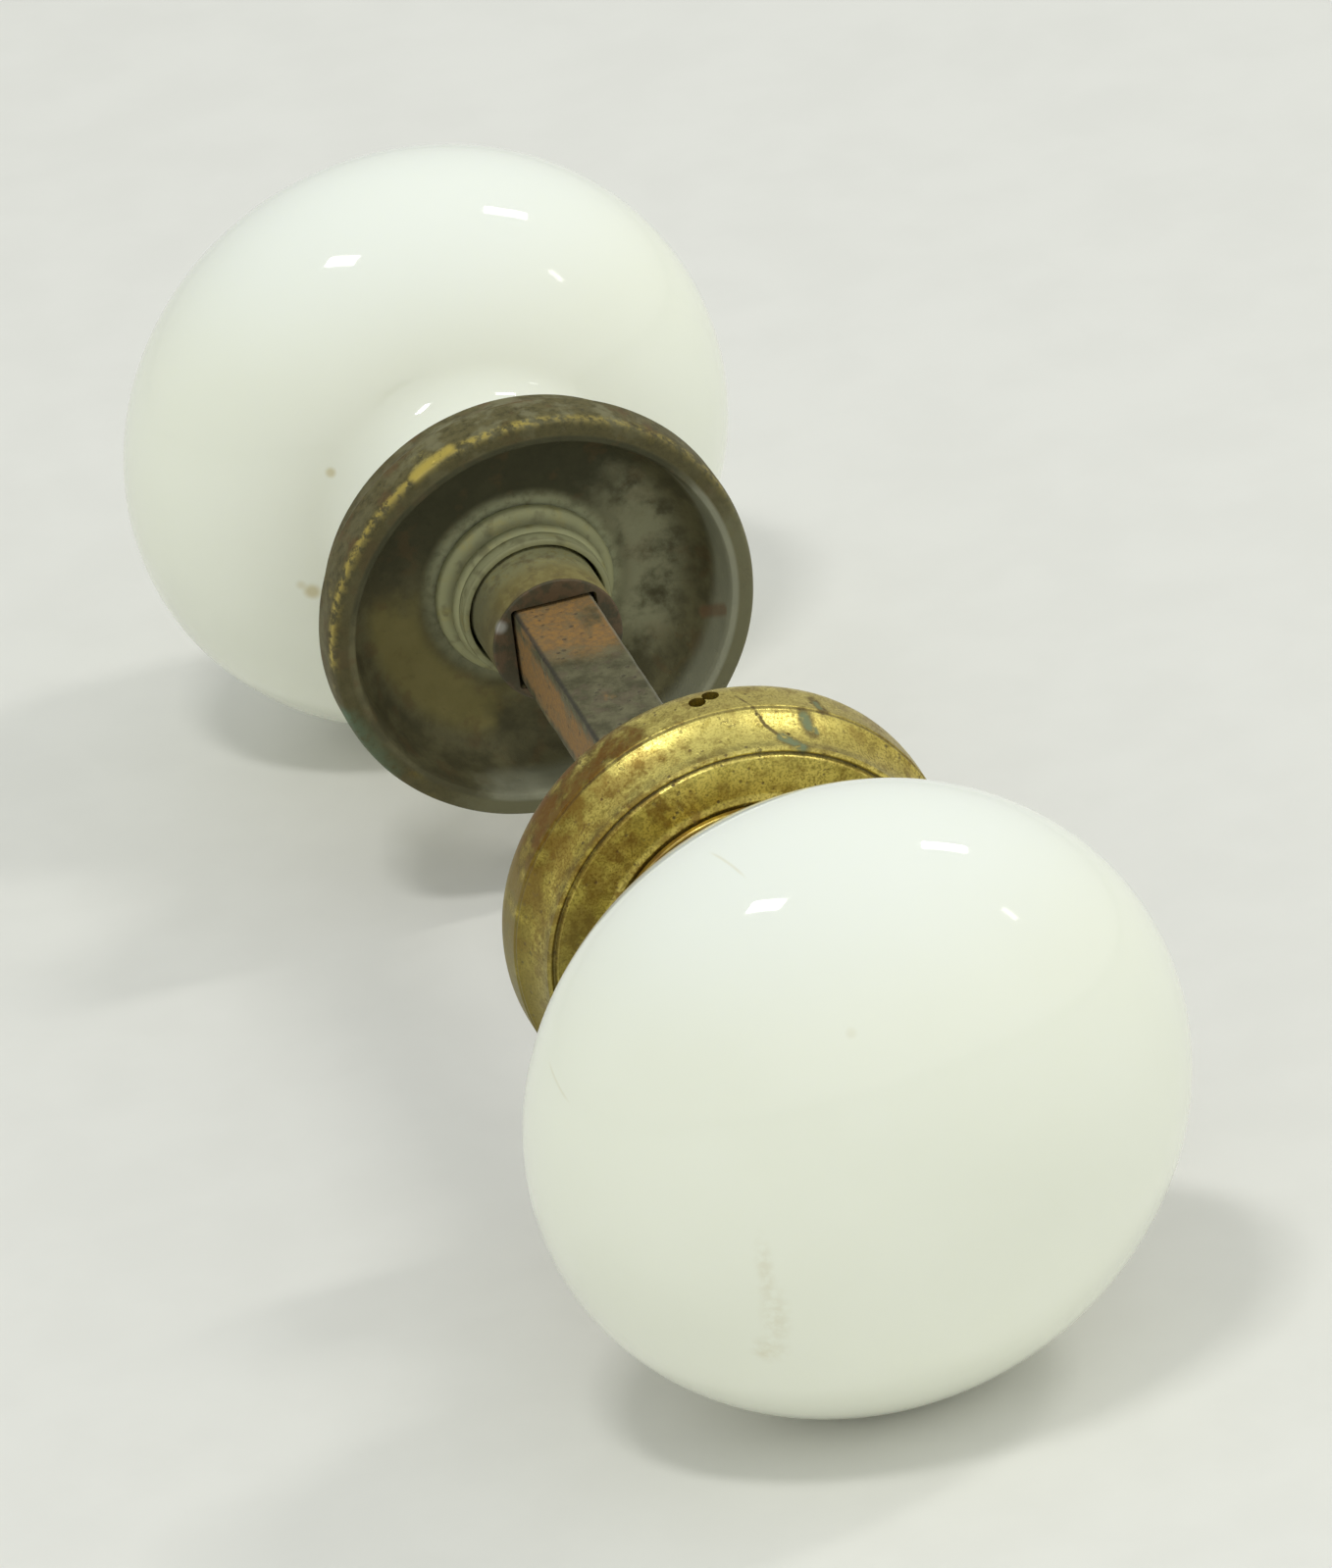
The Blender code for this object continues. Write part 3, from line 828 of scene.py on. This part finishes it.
def bush_finish(name, side):
    """Pale grey-green bloom on the bush's bead and lip, over dull brass."""
    f = Finish(name)
    cloud = f.noise(2.4, 4.0, 5.0 + side, 0.6)
    fine = f.noise(0.6, 4.0, 7.0, 0.6)
    brass = f.mix(f.grade(cloud, 0.35, 0.65), (0.48, 0.43, 0.18), (0.34, 0.31, 0.13))
    bloom = f.grade(cloud, 0.22, 0.50)
    colour = f.over(brass, (0.45, 0.46, 0.26), bloom, 0.80)
    grime = f.product(f.grade(f.noise(1.4, 4.0, 9.0), 0.52, 0.7), 0.55)
    colour = f.over(colour, (0.20, 0.185, 0.095), grime)
    hollows = f.either(
        f.line(f.height, 31.5, 0.45), f.line(f.height, 29.75, 0.22), f.grade(f.height, 28.7, 28.4)
    )
    colour = f.over(colour, (0.12, 0.115, 0.055), hollows, 0.45)
    roughness = f.blend(bloom, 0.50, 0.72)
    metallic = f.blend(bloom, 0.85, 0.30)
    relief = f.bump(fine, 0.03, f.bump(f.ring_noise(0.25, 1.5), 0.015))
    return f.set(colour, roughness, metallic, Normal=relief)


def shank_finish(name, side):
    """Dull olive brass, greener near the bush, with a dark red-brown end face, partly rust and
    partly painted shade, and a painted glint on the far shank's end rim.
    """
    f = Finish(name)
    cloud = f.noise(2.0, 5.0, 3.0 + side, 0.6)
    fine = f.noise(0.5, 4.0, 4.0, 0.6)
    brass = f.mix(f.grade(cloud, 0.35, 0.65), (0.38, 0.33, 0.13), (0.27, 0.22, 0.08))
    bloom = f.product(f.grade(f.height, 23.5, 27.5), f.grade(fine, 0.25, 0.55))
    colour = f.over(brass, (0.40, 0.41, 0.23), bloom, 0.7)
    streaks = f.grade(f.noise(1.5, 3.0, 8.0, 0.6), 0.50, 0.66)
    colour = f.over(colour, (0.17, 0.13, 0.07), streaks, 0.45)
    left = f.product(f.sector(-110.0, 45.0, 25.0), 0.5)
    colour = f.over(colour, (0.15, 0.14, 0.09), left)
    # the end face: red-brown rust, darkened further by painted shade
    end = f.mix(
        f.grade(f.noise(1.1, 4.0, 5.0, 0.6), 0.4, 0.62),
        (0.075, 0.066, 0.036),
        (0.125, 0.085, 0.045),
    )
    colour = f.over(colour, end, f.grade(f.height, 22.35, 22.1))
    # painted highlight: a small pale glint on the far shank's end rim
    painted_glint = f.spot(around(side, -62.0, 5.75, SHANK_START), 0.55, 0.6)
    colour = f.over(colour, (0.55, 0.55, 0.50), painted_glint, 0.6 if side == FAR else 0.0)
    relief = f.bump(fine, 0.04, f.bump(cloud, 0.05))
    return f.set(colour, 0.62, 0.45, Normal=relief)


def spindle_iron(name):
    """Forged iron: grey-brown scale above, orange rust on the left face and near the far rose, with
    painted shade and a painted highlight along the arrises.
    """
    f = Finish(name)
    cloud = f.noise(2.2, 6.0, 5.0, 0.65)
    broad = f.noise(5.0, 4.0, 3.0, 0.6, (1.0, 0.55, 1.0))
    fine = f.noise(0.45, 5.0, 7.0, 0.65)
    half = SPINDLE_SIDE / 2
    scale = f.mix(f.grade(cloud, 0.35, 0.65), (0.090, 0.084, 0.042), (0.185, 0.172, 0.094))
    scale = f.over(scale, (0.15, 0.115, 0.075), f.grade(f.noise(1.3, 4.0, 11.0), 0.5, 0.66), 0.5)
    rust = f.mix(f.grade(fine, 0.38, 0.62), (0.300, 0.165, 0.045), (0.215, 0.130, 0.050))
    rust = f.over(rust, (0.16, 0.125, 0.060), f.grade(cloud, 0.50, 0.66), 0.6)
    left_face = f.product(
        f.grade(f.x, 0.3 - half, 0.15 - half),
        f.between(
            f.math("ADD", f.z, f.product(f.math("SUBTRACT", cloud, 0.5), 4.0)), -2.6, 2.2, 0.7
        ),
    )
    patch = f.spot((1.0, 17.5, half), 4.6, 0.45, (0.75, 0.85, 1.0))
    patch = f.product(patch, f.grade(broad, 0.30, 0.48), f.grade(f.z, half - 0.3, half - 0.1))
    share = f.either(f.grade(broad, 0.56, 0.66), left_face, patch)
    colour = f.over(scale, rust, share)
    side_x = f.grade(f.math("ABSOLUTE", f.x), half - 0.50, half - 0.22)
    side_z = f.grade(f.math("ABSOLUTE", f.z), half - 0.50, half - 0.22)
    # painted shade: a dark line along the left arrises, in place of a shaded groove
    painted_arris_shade = f.product(side_x, side_z, f.grade(f.x, 0.5, -0.5))
    colour = f.over(colour, (0.055, 0.050, 0.038), painted_arris_shade, 0.8)
    # painted highlight: a pale line along the right arrises
    edge = f.product(side_x, side_z, f.grade(f.x, -0.5, 0.5))
    colour = f.over(colour, (0.21, 0.205, 0.15), edge, 0.6)
    pits = f.product(f.specks(0.9, 0.28, 3.0), f.grade(cloud, 0.45, 0.6))
    colour = f.over(colour, (0.045, 0.036, 0.028), pits, 0.6)
    roughness = f.blend(share, 0.58, 0.80)
    metallic = f.blend(share, 0.45, 0.1)
    relief = f.bump(cloud, 0.10, f.bump(fine, 0.05))
    relief = f.bump(f.math("SUBTRACT", 1.0, pits), 0.08, relief)
    return f.set(colour, roughness, metallic, Normal=relief)


def steel(name):
    """Grey steel with brown clouds."""
    f = Finish(name)
    cloud = f.noise(1.5, 5.0, 2.0, 0.6)
    colour = f.mix(f.grade(cloud, 0.4, 0.65), (0.42, 0.40, 0.36), (0.20, 0.15, 0.10))
    roughness = f.blend(f.grade(cloud, 0.4, 0.65), 0.32, 0.6)
    relief = f.bump(f.noise(0.4, 4.0, 3.0), 0.02)
    return f.set(colour, roughness, 0.95, Normal=relief)


def plaster(name):
    """Off-white plaster, rough."""
    f = Finish(name)
    cloud = f.noise(2.5, 6.0, 4.0, 0.6)
    colour = f.mix(f.grade(cloud, 0.3, 0.7), (0.62, 0.59, 0.51), (0.78, 0.75, 0.68))
    relief = f.bump(f.noise(0.6, 5.0, 6.0, 0.7), 0.08)
    return f.set(colour, 0.92, 0.0, Normal=relief)


# ---- pieces


def neck_blend():
    """Where the neck's fillet meets the ball: ellipse angle, normal and the fillet's centre."""
    low, high = math.radians(-85.0), math.radians(-20.0)
    for _ in range(50):
        angle = (low + high) / 2
        normal = math.atan2(math.sin(angle) / KNOB_BACK, math.cos(angle) / KNOB_RADIUS)
        reach = KNOB_RADIUS * math.cos(angle) + NECK_FILLET * math.cos(normal)
        if reach < NECK_RADIUS + NECK_FILLET:
            low = angle
        else:
            high = angle
    height = KNOB_CENTRE + KNOB_BACK * math.sin(angle) + NECK_FILLET * math.sin(normal)
    return angle, normal, (NECK_RADIUS + NECK_FILLET, height)


def knob_head(side):
    """The glazed ball, flatter along the spindle, with its neck and the cavity for the shank."""
    blend, normal, centre = neck_blend()
    outline = [(0.0, KNOB_CENTRE + KNOB_FRONT)]
    for i in range(1, 60):
        angle = math.radians(90.0 * (1 - i / 60))
        height = KNOB_CENTRE + KNOB_FRONT * math.sin(angle)
        outline.append((KNOB_RADIUS * math.cos(angle), height))
    for i in range(0, 41):
        angle = blend * i / 40
        outline.append((KNOB_RADIUS * math.cos(angle), KNOB_CENTRE + KNOB_BACK * math.sin(angle)))
    outline += arc(centre, NECK_FILLET, 180.0 + math.degrees(normal), 180.0, 12)[1:]
    outline += eased([
        outline.pop(),
        (NECK_RADIUS, NECK_END, 0.5),
        (CAVITY_MOUTH_RADIUS, NECK_END, 0.2),
        (CAVITY_MOUTH_RADIUS, CAVITY_STEP),
        (CAVITY_RADIUS, CAVITY_STEP + 1.0),
        (CAVITY_RADIUS, CAVITY_END, 0.8),
        (0.0, CAVITY_END),
    ], False)
    obj = turned(PREFIX[side] + "_head_glazed", outline, False, 256, side)
    return worn(obj, depth=0.10, wavelength=21.0, seed=2.0 + side)


def rose_outline():
    """A rose in section: front band, groove, hollow flank, outer band, and the bowl behind."""
    tilt = math.radians(FLANK_FOOT_TILT)
    foot = (ROSE_RADIUS - 0.36, BAND_TOP + 0.52)
    centre = (foot[0] + FLANK_RADIUS * math.cos(tilt), foot[1] + FLANK_RADIUS * math.sin(tilt))
    flank = arc(centre, FLANK_RADIUS, 180.0 + FLANK_TOP_TILT, 180.0 + FLANK_FOOT_TILT, 22)
    bowl = arc((12.9, 29.1), 4.0, 0.0, 90.0, 14)
    outer = [
        (ROSE_HOLE_RADIUS, ROSE_FRONT, 0.15),
        (ROSE_SEAT_RADIUS - 0.1, ROSE_FRONT, 0.12),
        (ROSE_SEAT_RADIUS + 0.3, ROSE_FRONT - 0.32, 0.15),
        (GROOVE_RADIUS - 0.24, ROSE_FRONT - 0.50, 0.10),
        (GROOVE_RADIUS - 0.02, ROSE_FRONT - 0.92, 0.12),
        (GROOVE_RADIUS + 0.26, ROSE_FRONT - 0.62, 0.16),
    ]
    lower = [
        (19.62, BAND_TOP + 0.36, 0.12),
        (19.60, BAND_TOP + 0.04, 0.05),
        (19.75, BAND_TOP - 0.10, 0.10),
        (ROSE_RADIUS, 28.6, 0.8),
        (ROSE_RADIUS, 27.2, 0.7),
        (19.5, ROSE_BACK, 0.35),
        (17.5, ROSE_BACK, 0.15),
        (17.3, ROSE_BACK + 0.5, 0.15),
    ]
    inner = [(8.9, ROSE_FLOOR), (ROSE_HOLE_RADIUS, ROSE_FLOOR, 0.2)]
    return eased(outer + flank + lower + bowl + inner, True)


def rose(side):
    """A turned rose with its ragged fixing hole."""
    outline = filled(rose_outline(), True, 0.8)
    obj = turned(PREFIX[side] + "_rose_turned", outline, True, 320, side)
    worn(obj, depth=0.06, wavelength=7.0, seed=5.0 + side)
    y = side * FIXING_HEIGHT
    drillings = [
        stand_up(rod("fixing", FIXING_RADIUS, *FIXING_REACH[side], 20), x, y + side * along)
        for x, along in FIXING_DRILLINGS
    ]
    return cut(obj, *drillings)


def rose_bush(side):
    """The boss in the middle of a rose's hollow, with a bead round it."""
    bead = arc((6.55, 30.6), 0.75, 62.0, -62.0, 10)
    outline = eased([
        (BORE_RADIUS, BUSH_END, 0.1),
        (ROSE_HOLE_RADIUS - GAP, BUSH_END, 0.1),
        (ROSE_HOLE_RADIUS - GAP, BUSH_SHOULDER),
        (BUSH_RADIUS, BUSH_SHOULDER, 0.15),
        (BUSH_RADIUS, 32.1, 0.35),
        (7.3, 31.6, 0.3),
        *bead,
        (BUSH_TUBE_RADIUS, 29.6, 0.15),
        (BUSH_TUBE_RADIUS, BUSH_START, 0.3),
        (BORE_RADIUS, BUSH_START, 0.15),
    ], True)
    outline = filled(outline, True, 1.2)
    obj = turned(PREFIX[side] + "_bush_turned", outline, True, 160, side)
    return worn(obj, depth=0.05, wavelength=4.0, seed=8.0 + side)


def thrust_washer(side):
    """The thin ring between a rose and its knob."""
    outline = eased([
        (BORE_RADIUS, WASHER_END, 0.08),
        (WASHER_RADIUS, WASHER_END, 0.2),
        (WASHER_RADIUS, WASHER_START, 0.2),
        (BORE_RADIUS, WASHER_START, 0.08),
    ], True)
    obj = turned(PREFIX[side] + "_washer_turned", filled(outline, True, 1.0), True, 192, side)
    return worn(obj, depth=0.04, wavelength=5.0, seed=9.0 + side)


def knob_drill(side, steps):
    """The hole through shank and collar for the cross pin, or for the far side's grub screw."""
    if side == NEAR:
        drill = rod("drill", PIN_RADIUS + GAP, -DRILL_REACH, DRILL_REACH, steps)
        return lay_across(drill, -SCREW_HEIGHT)
    return stand_up(rod("drill", SCREW_RADIUS + GAP, 0.5, DRILL_REACH, steps), 0.0, SCREW_HEIGHT)


def neck_collar(side):
    """The flanged collar between the neck and the rose, drilled for the knob's fixing."""
    outline = eased([
        (BORE_RADIUS, COLLAR_END, 0.1),
        (COLLAR_RADIUS, COLLAR_END, 0.4),
        (COLLAR_RADIUS, COLLAR_FLANGE_END, 0.5),
        (COLLAR_FLANGE_RADIUS, COLLAR_FLANGE_END, 0.45),
        (COLLAR_FLANGE_RADIUS, COLLAR_START, 0.3),
        (BORE_RADIUS, COLLAR_START, 0.1),
    ], True)
    obj = turned(PREFIX[side] + "_collar_turned", filled(outline, True, 1.0), True, 192, side)
    worn(obj, depth=0.04, wavelength=5.0, seed=12.0 + side)
    return cut(obj, knob_drill(side, 32))


def shank(side):
    """The round shank with its flange, its square socket and its drilling."""
    outline = eased([
        (0.0, SHANK_END),
        (SHANK_RADIUS, SHANK_END, 0.2),
        (SHANK_RADIUS, SHANK_FLANGE_END),
        (SHANK_FLANGE_RADIUS, SHANK_FLANGE_END, 0.3),
        (SHANK_FLANGE_RADIUS, SHANK_FLANGE_START, 0.3),
        (SHANK_RADIUS, SHANK_FLANGE_START),
        (SHANK_RADIUS, SHANK_START, 0.2),
        (0.0, SHANK_START),
    ], False)
    obj = turned(PREFIX[side] + "_shank_forged", filled(outline, False, 1.5), False, 120, side)
    low, high = sorted((side * (SHANK_START - 5.0), side * SOCKET_DEPTH))
    socket = square_bar("socket", SOCKET_SIDE, 0.4, low, high, 40.0, 0.1)
    return cut(obj, socket, knob_drill(side, 24))


def spindle():
    """The square bar, drilled for the near knob's cross pin."""
    ends = (SPINDLE_NEAR_END, SPINDLE_FAR_END)
    obj = square_bar("spindle_forged", SPINDLE_SIDE, SPINDLE_ARRIS, *ends, step=0.6, chamfer=0.5)
    worn(obj, depth=0.10, wavelength=2.2, seed=3.0)
    return cut(obj, knob_drill(NEAR, 24))


def cross_pin():
    """The pin through collar, shank and spindle, a little short of the collar's surface."""
    half = COLLAR_RADIUS - 0.2
    pin = rod("near_cross_pin_riveted", PIN_RADIUS, -half, half, 32, ease=0.3)
    return lay_across(pin, -SCREW_HEIGHT)


def grub_screw():
    """Threaded headless screw, standing along Z, with a screwdriver slot and a conical point."""
    tip = SPINDLE_SIDE / 2 + GAP
    head = COLLAR_RADIUS - 0.3
    steps = 32
    rows = 72
    verts = [(0.0, 0.0, tip * MM)]
    for i in range(rows + 1):
        for k in range(steps):
            z = tip + (head - tip) * i / rows
            turn = k / steps
            phase = (z / SCREW_PITCH - turn) % 1.0
            thread = SCREW_RADIUS - THREAD_DEPTH * abs(2 * phase - 1)
            point = SCREW_RADIUS - 0.9 + (z - tip) * 1.1
            top = SCREW_RADIUS - 0.25 + (head - z) * 1.2
            radius = min(thread, point, top)
            angle = 2 * math.pi * turn
            verts.append((radius * math.cos(angle) * MM, radius * math.sin(angle) * MM, z * MM))
    verts.append((0.0, 0.0, head * MM))
    last = len(verts) - 1
    faces = []
    for k in range(steps):
        n = (k + 1) % steps
        faces.append([0, 1 + n, 1 + k])
        faces.append([last, last - steps + k, last - steps + n])
        for i in range(rows):
            a = 1 + i * steps
            faces.append([a + k, a + n, a + n + steps, a + k + steps])
    obj = mesh_object("far_grub_screw_threaded", verts, faces)
    slot = square_bar("slot", 0.8, 0.02, -3.0, 3.0, 10.0, 0.01)
    lift = Matrix.Translation((0.0, 0.0, (head - 0.3) * MM))
    slot.data.transform(lift @ Matrix.Diagonal((1.0, 1.0, 2.2, 1.0)))
    cut(obj, slot)
    obj.data.transform(Matrix.Translation((0.0, SCREW_HEIGHT * MM, 0.0)))
    return obj


def finish_piece(obj, material, body, slot, *nodes):
    """Give a piece its material and its body, and hide the nodes it replaces; the slot is not used.
    """
    obj.data.materials.clear()
    obj.data.materials.append(material)
    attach(obj, body)
    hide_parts(*nodes)
    return obj


def build_side(side):
    """One side of the set: a knob and a rose with their small parts, and the cement's finish."""
    p = PREFIX[side]
    rose_brass = near_rose_brass if side == NEAR else far_rose_brass
    washer_tints = ((0.66, 0.52, 0.15), (0.36, 0.22, 0.07))
    collar_tints = ((0.70, 0.56, 0.17), (0.42, 0.32, 0.10))
    glaze = knob_white(p + "_white_glaze", side)
    washer = small_brass(p + "_washer_brass_look", 4.0 + side, *washer_tints)
    collar = small_brass(p + "_collar_brass_look", 7.0 + side, *collar_tints)
    bush = bush_finish(p + "_bush_brass_look", side)
    tube = shank_finish(p + "_shank_brass_look", side)
    for build, material, body, slot, node in (
        (knob_head, glaze, "_knob_set", "knob_glaze", "_knob_head"),
        (rose, rose_brass(p + "_rose_brass_look"), "_rose_set", p + "_rose_brass", "_rose"),
        (rose_bush, bush, "_rose_set", "bush_brass", "_rose_bush"),
        (thrust_washer, washer, "_rose_set", "washer_brass", "_thrust_washer"),
        (neck_collar, collar, "_knob_set", "collar_brass", "_neck_collar"),
        (shank, tube, "_knob_set", "shank_brass", "_shank"),
    ):
        finish_piece(build(side), material, p + body, slot, p + node)
    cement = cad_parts[p + "_cement"]
    cement.material_slots[0].material = plaster(p + "_plaster_look")


def build_middle():
    """The spindle, and what fixes the knobs to it."""
    body = "near_knob_set"
    finish_piece(spindle(), spindle_iron("spindle_iron_look"), body, "spindle_iron", "spindle")
    finish_piece(cross_pin(), steel("pin_steel_look"), body, "pin_steel", "near_cross_pin")
    screw = steel("screw_steel_look")
    finish_piece(grub_screw(), screw, "grub_screw", "pin_steel", "far_grub_screw")


# ---- stage


def build_floor(level):
    """A large pale floor under the lowest point of the object."""
    corners = ((-1, -1), (1, -1), (1, 1), (-1, 1))
    verts = [(x * FLOOR_REACH, y * FLOOR_REACH, level) for x, y in corners]
    mesh = bpy.data.meshes.new("floor")
    mesh.from_pydata(verts, [], [(0, 1, 2, 3)])
    floor = bpy.data.objects.new("floor", mesh)
    bpy.context.scene.collection.objects.link(floor)
    f = Finish("floor_paper")
    grain = f.grade(f.noise(9.0, 4.0, 1.0), 0.3, 0.7)
    colour = f.mix(grain, (0.77, 0.765, 0.72), (0.79, 0.785, 0.74))
    mesh.materials.append(f.set(colour, 0.95, 0.0))


def build_light(name, direction, size, power, colour):
    """A soft box that faces the object from a direction."""
    lamp = bpy.data.lights.new(name, "AREA")
    lamp.shape = "RECTANGLE"
    lamp.size, lamp.size_y = size
    lamp.energy = power
    lamp.color = colour
    obj = bpy.data.objects.new(name, lamp)
    towards = Vector(direction).normalized()
    obj.location = towards * LIGHT_DISTANCE
    obj.rotation_euler = towards.to_track_quat("Z", "Y").to_euler()
    bpy.context.scene.collection.objects.link(obj)


def build_world():
    """Even pale surroundings, a little brighter in front and to the right."""
    world = bpy.data.worlds.new("studio")
    world.use_nodes = True
    nodes, links = world.node_tree.nodes, world.node_tree.links
    place = nodes.new("ShaderNodeTexCoord")
    split = nodes.new("ShaderNodeSeparateXYZ")
    links.new(place.outputs["Generated"], split.inputs[0])
    ramp = nodes.new("ShaderNodeValToRGB")
    level, above = ramp.color_ramp.elements
    level.position, level.color = 0.0, WORLD_LEVEL
    above.position, above.color = 0.9, WORLD_ABOVE
    links.new(split.outputs["Z"], ramp.inputs[0])
    facing = nodes.new("ShaderNodeVectorMath")
    facing.operation = "DOT_PRODUCT"
    facing.inputs[1].default_value = Vector(FILL_DIRECTION).normalized()
    links.new(place.outputs["Generated"], facing.inputs[0])
    lobe = nodes.new("ShaderNodeMapRange")
    lobe.interpolation_type = "SMOOTHSTEP"
    lobe.inputs["From Min"].default_value = -0.3
    lobe.inputs["From Max"].default_value = 1.0
    lobe.inputs["To Max"].default_value = FILL_STRENGTH
    links.new(facing.outputs["Value"], lobe.inputs["Value"])
    total = nodes.new("ShaderNodeVectorMath")
    total.operation = "ADD"
    links.new(ramp.outputs[0], total.inputs[0])
    links.new(lobe.outputs[0], total.inputs[1])
    links.new(total.outputs[0], nodes["Background"].inputs["Color"])
    bpy.context.scene.world = world


def build_camera():
    """The camera, aimed from its azimuth and elevation and then rolled."""
    azimuth = math.radians(CAMERA_AZIMUTH)
    elevation = math.radians(CAMERA_ELEVATION)
    back = Vector((
        math.sin(azimuth) * math.cos(elevation),
        -math.cos(azimuth) * math.cos(elevation),
        math.sin(elevation),
    ))
    camera = bpy.data.objects.new("camera", bpy.data.cameras.new("camera"))
    camera.data.lens = CAMERA_LENS
    camera.data.sensor_width = 36.0
    camera.location = Vector(CAMERA_AIM) + back * CAMERA_DISTANCE
    level = back.to_track_quat("Z", "Y").to_matrix()
    rolled = Matrix.Rotation(math.radians(CAMERA_ROLL), 3, back) @ level
    camera.rotation_euler = rolled.to_euler()
    camera.data.clip_start = 0.05
    camera.data.clip_end = 20.0
    bpy.context.scene.collection.objects.link(camera)
    bpy.context.scene.camera = camera


def main():
    """Build the camera, the pieces and the stage."""
    build_camera()
    build_world()
    build_side(NEAR)
    build_side(FAR)
    build_middle()
    build_floor(cad_box[0].z)
    for light in LIGHTS:
        build_light(*light)
    bpy.context.scene.view_settings.view_transform = "Standard"


main()

bpy.context.view_layer.update()
